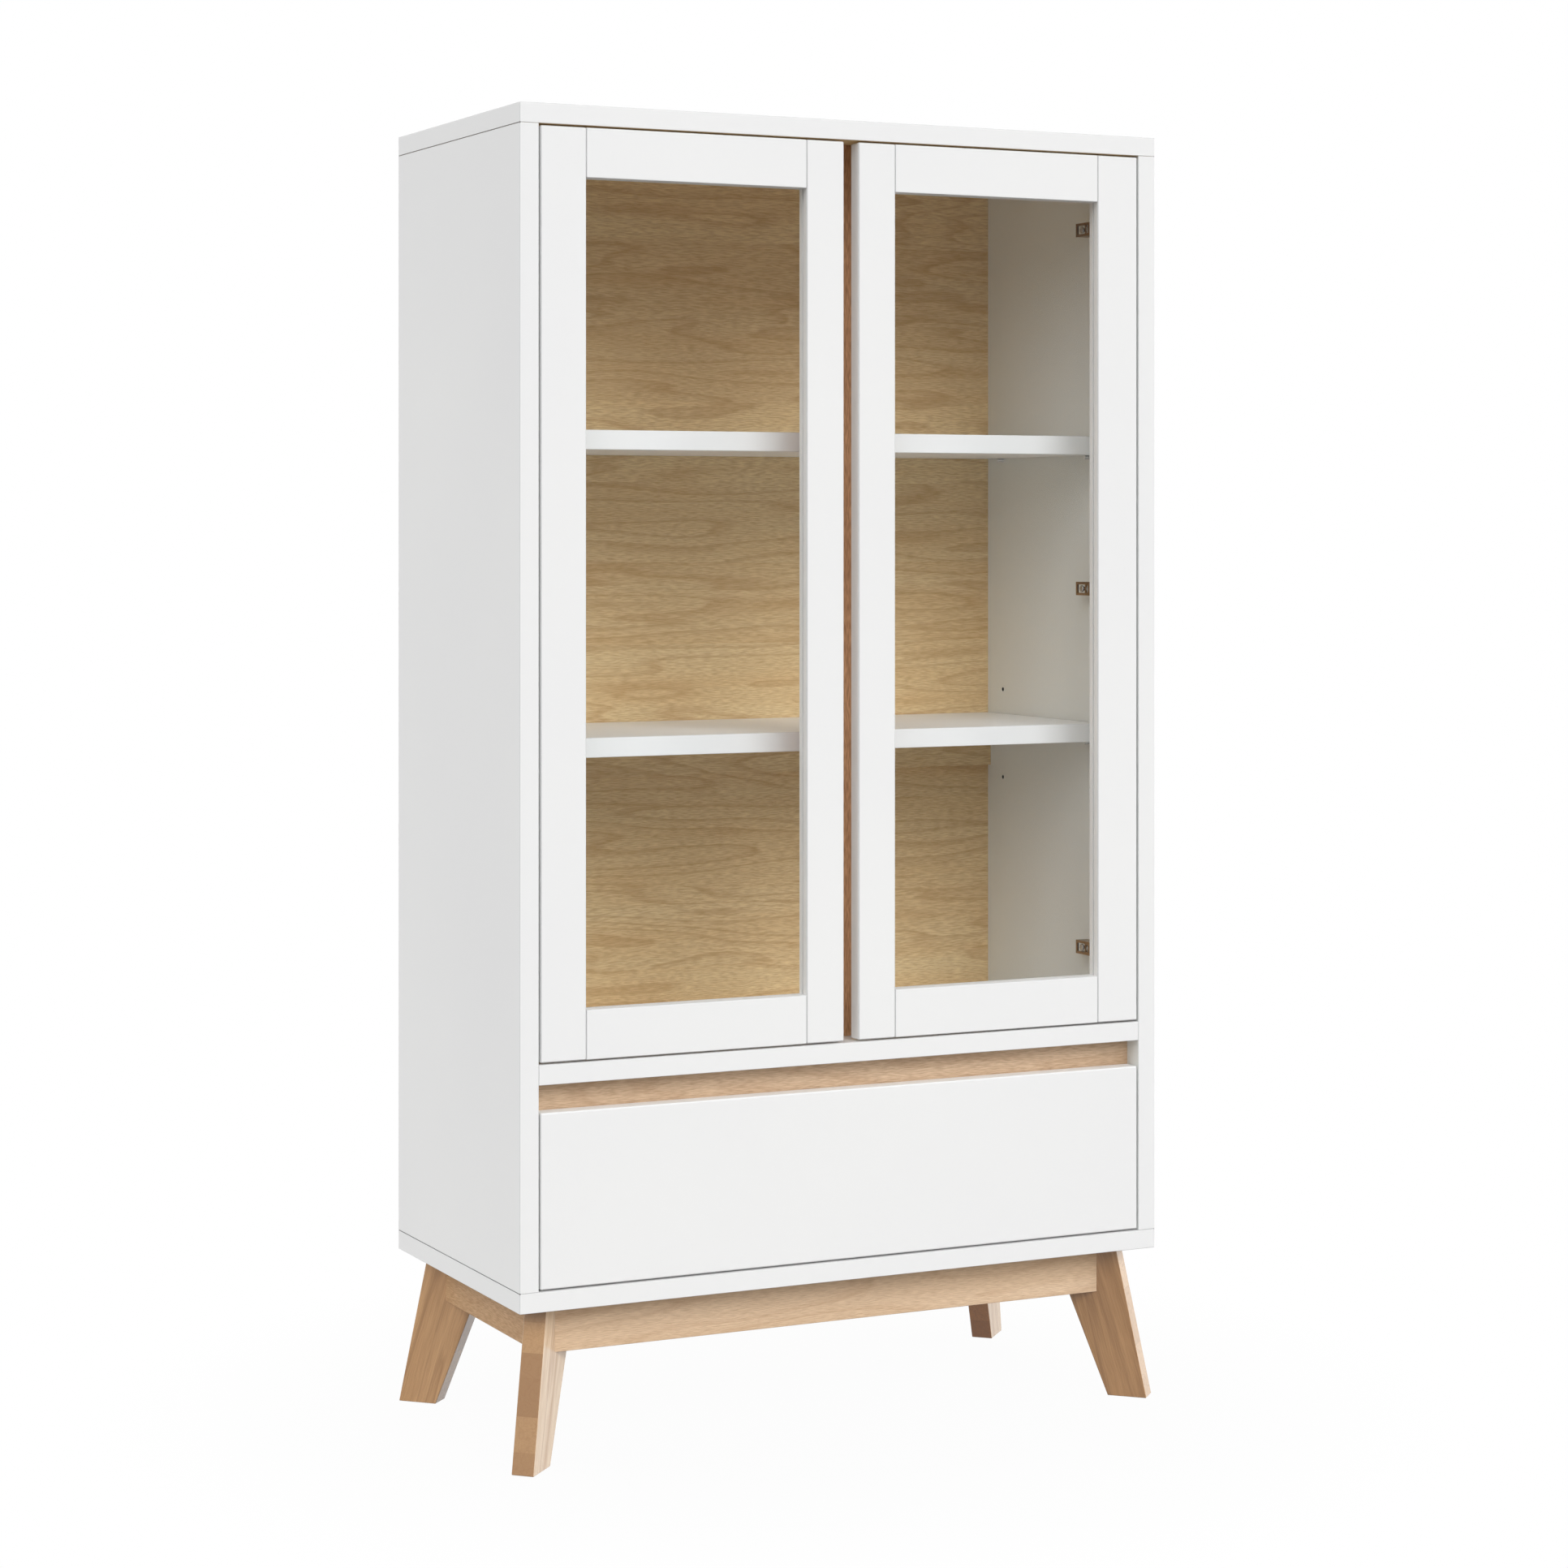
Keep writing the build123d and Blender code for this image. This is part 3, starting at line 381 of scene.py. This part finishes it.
BLOCK_HEIGHT = 0.034
BLOCK_SCATTER = 0.55
BLOCK_FIGURE = {
    "Arch Length": 0.03,
    "Arch Width": 0.022,
    "Rings": 9.0,
    "Fibre Length": 0.004,
    "Fibre Width": 0.0014,
}
RING_SHARE, FIBRE_SHARE = 0.4, 0.25
BLOCK_RING_SHARE, BLOCK_FIBRE_SHARE = 0.25, 0.3
BROAD_FACE = (0.45, 0.75)
LEG_GLOSS = (0.36, 0.48)
LEG_RELIEF = 0.00008
VARNISH = {"Coat Weight": 1.0, "Coat Roughness": 0.15, "Coat IOR": 1.5}


def block_ends(tree, place, pale, deep):
    """Colour of a narrow face: a stack of blocks, each with its own curl and shade."""
    stack = {"voronoi_dimensions": "1D", "feature": "F1"}
    sizes = {"W": separate(tree, place)["Z"], "Scale": 1 / BLOCK_HEIGHT, "Randomness": BLOCK_SCATTER}
    block = add_node(tree, "ShaderNodeTexVoronoi", stack, sizes).outputs["Color"]
    own = vector_math(tree, "ADD", place, block)
    curl = place_group(tree, wood_figure, {"Grain": own, **BLOCK_FIGURE})
    shade = add_node(tree, "ShaderNodeSeparateColor", None, {0: block}).outputs[0]
    colour = mix_colour(tree, shade, pale, deep)
    colour = tint(tree, colour, curl["Rings"], BLOCK_RING_SHARE, BLOCK_RING)
    return tint(tree, colour, curl["Fibre"], BLOCK_FIBRE_SHARE, deep)


def leg_wood(corner):
    """Wood of the leg at a corner, with its grain along the leaning diagonal."""
    pale, deep, streak, end_pale, end_deep = LEG_LIT_TONES[corner]
    material, tree, shader = new_material("leg wood " + corner)
    inward = -Vector((*OUTWARD[corner], 0)).normalized()
    up = (Vector((0, 0, 1)) + LEG_LEAN * inward).normalized()
    face = Vector((inward.y, -inward.x, 0))
    place = object_place(tree)
    space = grain_space(tree, place, (up, up.cross(face), face))
    figure = place_group(tree, wood_figure, {"Grain": space, **LEG_FIGURE})
    long_grain = mix_colour(tree, figure["Broad"], pale, deep)
    long_grain = tint(tree, long_grain, figure["Rings"], RING_SHARE, streak)
    long_grain = tint(tree, long_grain, figure["Fibre"], FIBRE_SHARE, streak)
    ends = block_ends(tree, place, end_pale, end_deep)
    facing = vector_math(tree, "DOT_PRODUCT", object_normal(tree), tuple(face))
    broad_face = remap(tree, calculate(tree, "ABSOLUTE", facing), BROAD_FACE)
    tree.links.new(mix_colour(tree, broad_face, ends, long_grain), shader.inputs["Base Color"])
    tree.links.new(remap(tree, figure["Fibre"], FULL, LEG_GLOSS), shader.inputs["Roughness"])
    for name, value in {"IOR": WOOD_IOR, **VARNISH}.items():
        shader.inputs[name].default_value = value
    add_bump(tree, shader, calculate(tree, "MULTIPLY", figure["Fibre"], -1.0), LEG_RELIEF)
    return material


for corner in LEG_LIT_TONES:
    dress(leg_wood(corner), "leg_" + corner)

# %% [markdown]
# ## Sprayed film
# Sprayed lacquer isn't dead flat: it has a faint orange peel, and its gloss wanders a little. Its rounded
# edges get grey painted shade, so the seams between boards show as fine grey lines. Where a face's normal
# lies between two axes the surface is such an edge. One small group holds all three effects.

# %% Sprayed film group
FILM_INPUTS = (("Place", "NodeSocketVector"), ("Peel Size", "NodeSocketFloat"))
CLOUD_SCALE = 2.3
CLOUD_SPAN = (0.3, 0.7)
EDGE_SPAN = (0.99, 0.85)

spray, start, end = new_group("sprayed film", FILM_INPUTS, ("Peel", "Cloud", "Edge"))
peel_scale = calculate(spray, "DIVIDE", 1.0, start.outputs["Peel Size"])
peel = noise(spray, start.outputs["Place"], peel_scale, 1.0)
cloud = noise(spray, start.outputs["Place"], CLOUD_SCALE, 3.0)
# The Edge mask finds rounded edges, which the lacquers paint grey as shade.
steep_x, steep_y, steep_z = separate(spray, vector_math(spray, "ABSOLUTE", object_normal(spray)))
squareness = calculate(spray, "MAXIMUM", calculate(spray, "MAXIMUM", steep_x, steep_y), steep_z)
spray.links.new(remap(spray, squareness, EDGE_SPAN), end.inputs["Edge"])
spray.links.new(peel, end.inputs["Peel"])
spray.links.new(remap(spray, cloud, CLOUD_SPAN), end.inputs["Cloud"])
print("film group has", len(spray.nodes), "nodes")

# %% [markdown]
# ## White lacquer
# The boards are sprayed white, and the drawer box is covered with a duller pale foil. The shelves get a
# brighter white, painted light for what they lack inside the cabinet. Inside, the side panels show plain
# melamine and rows of drilled holes, whose walls are painted near black as shade. A hole's wall lies
# deeper in the board than its face does, so the place of a point tells whether it is on the outside, on
# the inner face or in a hole. Outside, a dark line of painted shade runs in the joint where a side panel
# meets the top and the bottom. The top panel's underside has the oak print of the back panel, which
# shows as a brown line over the doors.

# %% White lacquer
# Grey painted shade for rounded edges and the seams between boards.
EDGE_SHADE_TONE = srgb(176, 176, 178)
INNER_TONE = srgb(236, 239, 237)
# Near-black painted shade on the walls of the drilled holes.
HOLE_SHADE_TONE = srgb(20, 19, 18)
INNER_SKIN = 0.0002
OUTER_SKIN = 0.001
# Dark painted shade in the joints on the outer faces.
SEAM_SHADE_TONE = srgb(90, 90, 92)
SEAM_REACH = 0.001
FACING_DOWN = -0.9
EDGE_MARGIN = 0.004
PEEL_SIZE = 0.0016
PEEL_RELIEF = 0.00002
WHITE = tones((244, 244, 243), (241, 241, 241))
# Shelves are painted a brighter white than the boards, as painted light inside the cabinet.
SHELF_BRIGHTENED_WHITE = tones((253, 254, 254), (250, 251, 251))
FOIL_WHITE = tones((232, 231, 228), (224, 223, 220))
SATIN = (0.36, 0.42)
DULL = (0.5, 0.6)
side_low, side_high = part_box("right_side_panel")
side_half = (side_high.z - side_low.z) / 2


def off_centre(tree):
    """How far a point lies from the centre of the side panels: across, deep and up, without sign."""
    x, y, z = separate(tree, object_place(tree))
    z = calculate(tree, "SUBTRACT", z, (side_low.z + side_high.z) / 2)
    return [calculate(tree, "ABSOLUTE", value) for value in (x, y, z)]


def outer_seam_shade(tree, colour, edge):
    """Painted shade: a dark line on the outer faces, in the joint of a side panel with the top and bottom.
    """
    x, _, z = off_centre(tree)
    off_seam = calculate(tree, "ABSOLUTE", calculate(tree, "SUBTRACT", z, side_half))
    seam = calculate(tree, "LESS_THAN", off_seam, SEAM_REACH)
    outer = calculate(tree, "GREATER_THAN", x, side_high.x - OUTER_SKIN)
    seam = calculate(tree, "MULTIPLY", calculate(tree, "MULTIPLY", seam, outer), edge)
    return mix_colour(tree, seam, colour, SEAM_SHADE_TONE)


def inner_face(tree, colour):
    """Plain melamine on a side panel's inner face, and near-black painted shade in its drilled holes."""
    x, y, z = off_centre(tree)
    inner = calculate(tree, "LESS_THAN", x, side_low.x + INNER_SKIN)
    hole = calculate(tree, "GREATER_THAN", x, side_low.x + INNER_SKIN)
    limits = (
        (x, side_high.x - OUTER_SKIN),
        (y, side_high.y - EDGE_MARGIN),
        (z, side_half - EDGE_MARGIN),
    )
    for place, limit in limits:
        hole = calculate(tree, "MULTIPLY", hole, calculate(tree, "LESS_THAN", place, limit))
    return mix_colour(tree, hole, mix_colour(tree, inner, colour, INNER_TONE), HOLE_SHADE_TONE)


def wood_underside(tree, colour):
    """The oak print of the back panel on a face that looks down."""
    grain = grain_space(tree, object_place(tree), FLAT)
    figure = place_group(tree, wood_figure, {"Grain": grain, **BOARD_FIGURE})
    wood = printed_oak(tree, figure, BACK_TONES, **BACK_MARKS)
    upward = separate(tree, object_normal(tree))["Z"]
    return mix_colour(tree, calculate(tree, "LESS_THAN", upward, FACING_DOWN), colour, wood)


def sprayed_white(name, colours, gloss, edge_shade_share, drilled=False, wood_below=False):
    """A white film; the edge share says how strongly rounded edges are painted grey as shade."""
    material, tree, shader = new_material(name)
    film = place_group(tree, spray, {"Place": object_place(tree), "Peel Size": PEEL_SIZE})
    colour = mix_colour(tree, film["Cloud"], *colours)
    # Painted shade: rounded edges and the seams between boards turn grey.
    colour = tint(tree, colour, film["Edge"], edge_shade_share, EDGE_SHADE_TONE)
    colour = outer_seam_shade(tree, colour, film["Edge"])
    colour = inner_face(tree, colour) if drilled else colour
    colour = wood_underside(tree, colour) if wood_below else colour
    tree.links.new(colour, shader.inputs["Base Color"])
    tree.links.new(remap(tree, film["Cloud"], FULL, gloss), shader.inputs["Roughness"])
    add_bump(tree, shader, film["Peel"], PEEL_RELIEF)
    return material


DOOR_FRAME = ("hinge_stile", "free_stile", "top_rail", "bottom_rail", "glass_beads")
door_frames = [side + "_" + piece for side in ("left", "right") for piece in DOOR_FRAME]
lacquer = sprayed_white("white lacquer", WHITE, SATIN, 0.6)
dress(lacquer, "bottom_panel", "mid_panel", "shelf_pins", *door_frames)
dress(sprayed_white("top lacquer", WHITE, SATIN, 0.6, wood_below=True), "top_panel")
dress(sprayed_white("drawer lacquer", WHITE, SATIN, 0.15), "drawer_front")
# The shelves' brighter white is painted light for the light they lack inside the cabinet.
dress(sprayed_white("shelf lacquer painted bright", SHELF_BRIGHTENED_WHITE, SATIN, 0.4), "upper_shelf", "lower_shelf")
side_lacquer = sprayed_white("side lacquer", WHITE, SATIN, 0.6, drilled=True)
dress(side_lacquer, "left_side_panel", "right_side_panel")
foil = sprayed_white("drawer foil", FOIL_WHITE, DULL, 0.3)
dress(foil, "drawer_left_side", "drawer_right_side", "drawer_back", "drawer_bottom")

# %% [markdown]
# ## Glass
# The panes are plain clear glass. A path tracer treats the shadow of solid glass as dark, so the material
# lets light itself straight through, with a small loss, and bends only what the eye or a mirror sees. The
# shelves behind are then lit as they are behind a real pane.

# %% Glass
GLASS_TINTS = tones((255, 255, 255), (252, 254, 254))
GLASS_SHADOW = srgb(254, 254, 254)
GLASS_RIPPLE = 0.05
GLASS = {
    "Roughness": 0.0,
    "IOR": 1.45,
    "Specular Tint": (0.15, 0.15, 0.15, 1.0),
    "Transmission Weight": 1.0,
}


def pane_glass():
    material, tree, shader = new_material("pane glass")
    film = place_group(tree, spray, {"Place": object_place(tree), "Peel Size": GLASS_RIPPLE})
    tree.links.new(mix_colour(tree, film["Cloud"], *GLASS_TINTS), shader.inputs["Base Color"])
    for name, value in GLASS.items():
        shader.inputs[name].default_value = value
    clear = add_node(tree, "ShaderNodeBsdfTransparent", None, {"Color": GLASS_SHADOW})
    path = add_node(tree, "ShaderNodeLightPath").outputs
    light = calculate(tree, "MAXIMUM", path["Is Shadow Ray"], path["Is Diffuse Ray"])
    sides = {0: light, 1: shader.outputs[0], 2: clear.outputs[0]}
    mix = add_node(tree, "ShaderNodeMixShader", None, sides)
    tree.links.new(mix.outputs[0], tree.nodes["Material Output"].inputs["Surface"])
    return material


dress(pane_glass(), "left_glass", "right_glass")

# %% [markdown]
# ## Metal fittings
# The hinge arms, links and cups are pressed steel in a warm brown metal colour. Hinge plates, screws,
# slides, pins and cams are zinc plated. Pressed and rolled sheet has a faint brushed line, so the
# roughness follows a noise that is stretched one way.

# %% Metal fittings
ROLLING = (600.0, 25.0, 2500.0)
PATCH_SCALE = 60.0
LINE_SPAN = (0.3, 0.7)
LINE_RELIEF = 0.00001
WARM_METAL = tones((162, 139, 113), (131, 111, 89))
ZINC = tones((206, 206, 208), (176, 178, 182))

brushed, start, end = new_group("rolled sheet", (("Place", "NodeSocketVector"),), ("Line", "Patch"))
rolled = vector_math(brushed, "MULTIPLY", start.outputs["Place"], ROLLING)
brushed.links.new(noise(brushed, rolled, 1.0), end.inputs["Line"])
brushed.links.new(noise(brushed, start.outputs["Place"], PATCH_SCALE), end.inputs["Patch"])


def plated_steel(name, colours, gloss):
    material, tree, shader = new_material(name)
    sheet = place_group(tree, brushed, {"Place": object_place(tree)})
    tree.links.new(mix_colour(tree, sheet["Patch"], *colours), shader.inputs["Base Color"])
    tree.links.new(remap(tree, sheet["Line"], LINE_SPAN, gloss), shader.inputs["Roughness"])
    shader.inputs["Metallic"].default_value = 1.0
    add_bump(tree, shader, sheet["Line"], LINE_RELIEF)
    return material


HINGE_SHEET = (
    "hinge_arms", "left_hinge_cups", "right_hinge_cups", "left_hinge_links", "right_hinge_links",
)
ZINC_PARTS = (
    "hinge_plates", "hinge_plate_screws", "hinge_arm_screws", "hinge_arm_pins",
    "left_cup_screws", "right_cup_screws", "left_cup_pins", "right_cup_pins",
    "slide_outer_members", "slide_middle_members", "slide_inner_members", "slide_screws",
    "leg_screws", "cam_bolts", "cam_locks",
)
dress(plated_steel("warm brown metal", WARM_METAL, (0.28, 0.42)), *HINGE_SHEET)
zinc = plated_steel("zinc plate", ZINC, (0.22, 0.36))
dress(zinc, *ZINC_PARTS)

# %% [markdown]
# ## Screws with a cross recess
# The screws of the hinges have pan heads and are turned by a cross-tip driver. The solids hold plain
# round screws, so each of them gets a shaped one in its place. A head starts as a drum with a rounded
# rim. Eight cuts mark a cross on its top, and the faces of the cross are pushed down, deeper in the
# middle, where the tip of the driver goes.

# %% Screw shape
HEAD_SEGMENTS = 28
RIM_FROM = 0.9
RIM_ROUND = 0.45
RIM_STEPS = 4
TOP_FROM = 0.99
RECESS_REACH = 0.62
RECESS_HALF = 0.16
RECESS_CORE = 0.4
CORE_DEPTH = 0.75
ARM_DEPTH = 0.35


def top_faces(form, head):
    return [face for face in form.faces if face.calc_center_median().z > TOP_FROM * head]


def in_cross(face, radius):
    x, y = (abs(value) / radius for value in face.calc_center_median().xy)
    return min(x, y) < RECESS_HALF and max(x, y) < RECESS_REACH


def add_drum(form, radius, depth, middle):
    sizes = {"segments": HEAD_SEGMENTS, "radius1": radius, "radius2": radius, "depth": depth}
    place = Matrix.Translation((0, 0, middle))
    bmesh.ops.create_cone(form, cap_ends=True, matrix=place, **sizes)


def cross_screw(radius, head, shank_radius, shank):
    """A screw along Z with the underside of its head at the origin."""
    form = bmesh.new()
    add_drum(form, radius, head, head / 2)
    rim = [edge for edge in form.edges if min(vert.co.z for vert in edge.verts) > RIM_FROM * head]
    rounding = {"offset": RIM_ROUND * head, "segments": RIM_STEPS, "profile": 0.5}
    bmesh.ops.bevel(form, geom=rim, affect="EDGES", material=-1, **rounding)
    for axis in (Vector((1, 0, 0)), Vector((0, 1, 0))):
        for place in (-RECESS_REACH, -RECESS_HALF, RECESS_HALF, RECESS_REACH):
            top = top_faces(form, head)
            parts = top + list({edge for face in top for edge in face.edges})
            bmesh.ops.bisect_plane(form, geom=parts, plane_co=axis * place * radius, plane_no=axis)
    cross = [face for face in top_faces(form, head) if in_cross(face, radius)]
    pushed = bmesh.ops.extrude_face_region(form, geom=cross)["geom"]
    bmesh.ops.delete(form, geom=cross, context="FACES")
    for vert in pushed:
        if isinstance(vert, bmesh.types.BMVert):
            core = vert.co.xy.length < RECESS_CORE * radius
            vert.co.z -= (CORE_DEPTH if core else ARM_DEPTH) * head
    add_drum(form, shank_radius, shank, -shank / 2)
    bmesh.ops.recalc_face_normals(form, faces=form.faces)
    mesh = bpy.data.meshes.new("screw pattern")
    form.to_mesh(mesh)
    form.free()
    return mesh


# %% [markdown]
# ## Screws in place
# A node holds several screws as loose solids. Walking along the edges of the mesh from one corner finds
# everything that hangs together, and each such group is one screw. Its box gives the middle, the width and
# the length, so the pattern is made to that size and turned until its head looks out of the board:
# towards the middle of the cabinet on a side panel, and backwards on a door.

# %% Screws in place
WELD = 1e-6
SHANK_SHARE = 0.55
LEAST_SHANK = 0.0002
SHARP_ANGLE = 35


def loose_solids(node):
    """Lowest and highest corner of each separate solid in a node."""
    form = bmesh.new()
    form.from_mesh(nodes[node].data)
    bmesh.ops.remove_doubles(form, verts=form.verts, dist=WELD)
    left, boxes = set(form.verts), []
    while left:
        group, edge = set(), [left.pop()]
        while edge:
            vert = edge.pop()
            group.add(vert)
            near = [link.other_vert(vert) for link in vert.link_edges]
            edge += [other for other in near if other in left]
            left.difference_update(near)
        corners = list(zip(*(vert.co for vert in group)))
        boxes.append((Vector(map(min, corners)), Vector(map(max, corners))))
    form.free()
    return boxes


def add_screw(form, low, high, axis, direction, head):
    """One cross screw in a box, with its head at the end that the direction points to."""
    size, middle = high - low, (low + high) / 2
    radius = size[(axis + 1) % 3] / 2
    outward = Vector()
    outward[axis] = direction
    seat = middle + outward * (size[axis] / 2 - head)
    pattern = cross_screw(radius, head, SHANK_SHARE * radius, max(size[axis] - head, LEAST_SHANK))
    known = len(form.verts)
    form.from_mesh(pattern)
    form.verts.ensure_lookup_table()
    turn = Vector((0, 0, 1)).rotation_difference(outward).to_matrix().to_4x4()
    bmesh.ops.transform(form, matrix=Matrix.Translation(seat) @ turn, verts=form.verts[known:])
    bpy.data.meshes.remove(pattern)


def screw_set(node, body, axis, facing, head):
    """Cross screws in place of a node's round ones; facing tells which way a head looks."""
    form = bmesh.new()
    for low, high in loose_solids(node):
        add_screw(form, low, high, axis, facing((low + high) / 2), head)
    mesh = bpy.data.meshes.new(node + "_cross")
    form.to_mesh(mesh)
    form.free()
    mesh.materials.append(zinc)
    mesh.shade_smooth()
    mesh.set_sharp_from_angle(angle=math.radians(SHARP_ANGLE))
    piece = bpy.data.objects.new(node + "_cross", mesh)
    scene.collection.objects.link(piece)
    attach(piece, body)
    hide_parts(node)
    print(piece.name, len(mesh.polygons), "faces")


def inward(middle):
    return -1.0 if middle.x > 0 else 1.0


def backward(middle):
    return 1.0


screw_set("hinge_arm_screws", "carcass", 0, inward, 0.0018)
screw_set("hinge_plate_screws", "carcass", 0, inward, 0.0016)
screw_set("left_cup_screws", "left_door", 1, backward, 0.0015)
screw_set("right_cup_screws", "right_door", 1, backward, 0.0015)

# %% [markdown]
# ## Studio
# The studio is white all round. The floor and the world are white to the camera and to reflections, so
# they never tint the picture, while the light that they send is kept low. The floor keeps a faint shadow
# close to the legs, which fades out with the distance.

# %% Studio
FLOOR_REACH = 9.0
FLOOR_WHITE = 0.3
FLOOR_ROUGHNESS = 0.9
SHADOW_WHITE = 0.97
SHADOW_FADE = (0.35, 0.8)
AMBIENT = 0.12
PLAIN_WHITE = (1.0, 1.0, 1.0, 1.0)


def white_for_camera(tree, lit, white, whiteness):
    """Mix a lit shader with plain white for rays that only look at it."""
    path = add_node(tree, "ShaderNodeLightPath").outputs
    looking = calculate(tree, "MAXIMUM", path["Is Camera Ray"], path["Is Glossy Ray"])
    looking = calculate(tree, "MAXIMUM", looking, path["Is Transmission Ray"])
    share = calculate(tree, "MULTIPLY", looking, whiteness)
    return add_node(tree, "ShaderNodeMixShader", None, {0: share, 1: lit, 2: white}).outputs[0]


def studio_floor():
    mesh = bpy.data.meshes.new("studio_floor")
    sheet = bmesh.new()
    bmesh.ops.create_grid(sheet, x_segments=1, y_segments=1, size=FLOOR_REACH)
    sheet.to_mesh(mesh)
    sheet.free()
    floor = bpy.data.objects.new("studio_floor", mesh)
    scene.collection.objects.link(floor)
    material, tree, shader = new_material("floor white")
    shader.inputs["Base Color"].default_value = (FLOOR_WHITE, FLOOR_WHITE, FLOOR_WHITE, 1.0)
    shader.inputs["Roughness"].default_value = FLOOR_ROUGHNESS
    glow = add_node(tree, "ShaderNodeEmission")
    distance = vector_math(tree, "LENGTH", object_place(tree))
    whiteness = remap(tree, distance, SHADOW_FADE, (SHADOW_WHITE, 1.0))
    surface = white_for_camera(tree, shader.outputs[0], glow.outputs[0], whiteness)
    tree.links.new(surface, tree.nodes["Material Output"].inputs["Surface"])
    mesh.materials.append(material)


def studio_world():
    world = bpy.data.worlds.new("studio")
    world.use_nodes = True
    tree = world.node_tree
    tree.nodes.clear()
    glow = add_node(tree, "ShaderNodeBackground", None, {"Color": PLAIN_WHITE, "Strength": AMBIENT})
    white = add_node(tree, "ShaderNodeBackground", None, {"Color": PLAIN_WHITE, "Strength": 1.0})
    out = add_node(tree, "ShaderNodeOutputWorld")
    surface = white_for_camera(tree, glow.outputs[0], white.outputs[0], 1.0)
    tree.links.new(surface, out.inputs["Surface"])
    scene.world = world


studio_floor()
studio_world()
print("floor reaches", FLOOR_REACH, "m each way, ambient light", AMBIENT)

# %% [markdown]
# ## Lamps
# The light comes from broad, far lamps, which light the top of the front as evenly as its foot. Three
# stand at the front, and their light reaches under the overhangs and behind the glass. One stands at each
# side and one at the back. A lamp's azimuth is counted from the front towards the right.

# %% Lamps
LAMP_DISTANCE = 6.0
LAMPS = (
    # name, azimuth, elevation and spread in degrees, power
    ("front", 6, 33, 36, 1.14),
    ("front_wide", 2, 22, 70, 0.26),
    ("front_left", -36, 32, 45, 0.85),
    ("left", -90, 30, 40, 1.4),
    ("right", 70, 15, 40, 1.41),
    ("back", 145, 12, 50, 1.1),
)


def far_lamp(name, azimuth, elevation, spread, power):
    turn, rise = math.radians(azimuth), math.radians(elevation)
    level = math.cos(rise)
    towards = Vector((math.sin(turn) * level, -math.cos(turn) * level, math.sin(rise)))
    data = bpy.data.lights.new(name, "SUN")
    data.angle = math.radians(spread)
    data.energy = power
    lamp = bpy.data.objects.new(name, data)
    scene.collection.objects.link(lamp)
    lamp.location = towards * LAMP_DISTANCE
    lamp.rotation_euler = (-towards).to_track_quat("-Z", "Y").to_euler()
    print("lamp", name, "power", power)


for lamp in LAMPS:
    far_lamp(*lamp)

# %% [markdown]
# ## Camera
# The photograph keeps its uprights upright, so the camera is level and its frame is shifted down instead
# of tilted. It stands to the left of the front, about four metres away. Its place, its turn and its lens
# were worked out from the edges of the carcass in the photograph.

# %% Camera
CAMERA_PLACE = (-1.784, -3.669, 1.021)
CAMERA_TURN = 26.05
PHOTO_SIZE = 1932
FOCAL_PIXELS = 4282.85
HORIZON_ROW = 649.37
SENSOR = 36.0


def photo_camera():
    data = bpy.data.cameras.new("photo_camera")
    data.sensor_width = SENSOR
    data.lens = FOCAL_PIXELS / PHOTO_SIZE * SENSOR
    data.shift_y = -(PHOTO_SIZE / 2 - HORIZON_ROW) / PHOTO_SIZE
    camera = bpy.data.objects.new("photo_camera", data)
    scene.collection.objects.link(camera)
    camera.location = CAMERA_PLACE
    camera.rotation_euler = (math.radians(90), 0.0, math.radians(-CAMERA_TURN))
    scene.camera = camera
    print("camera lens", round(data.lens, 2), "mm, shift", round(data.shift_y, 4))


photo_camera()
scene.view_settings.view_transform = "Standard"
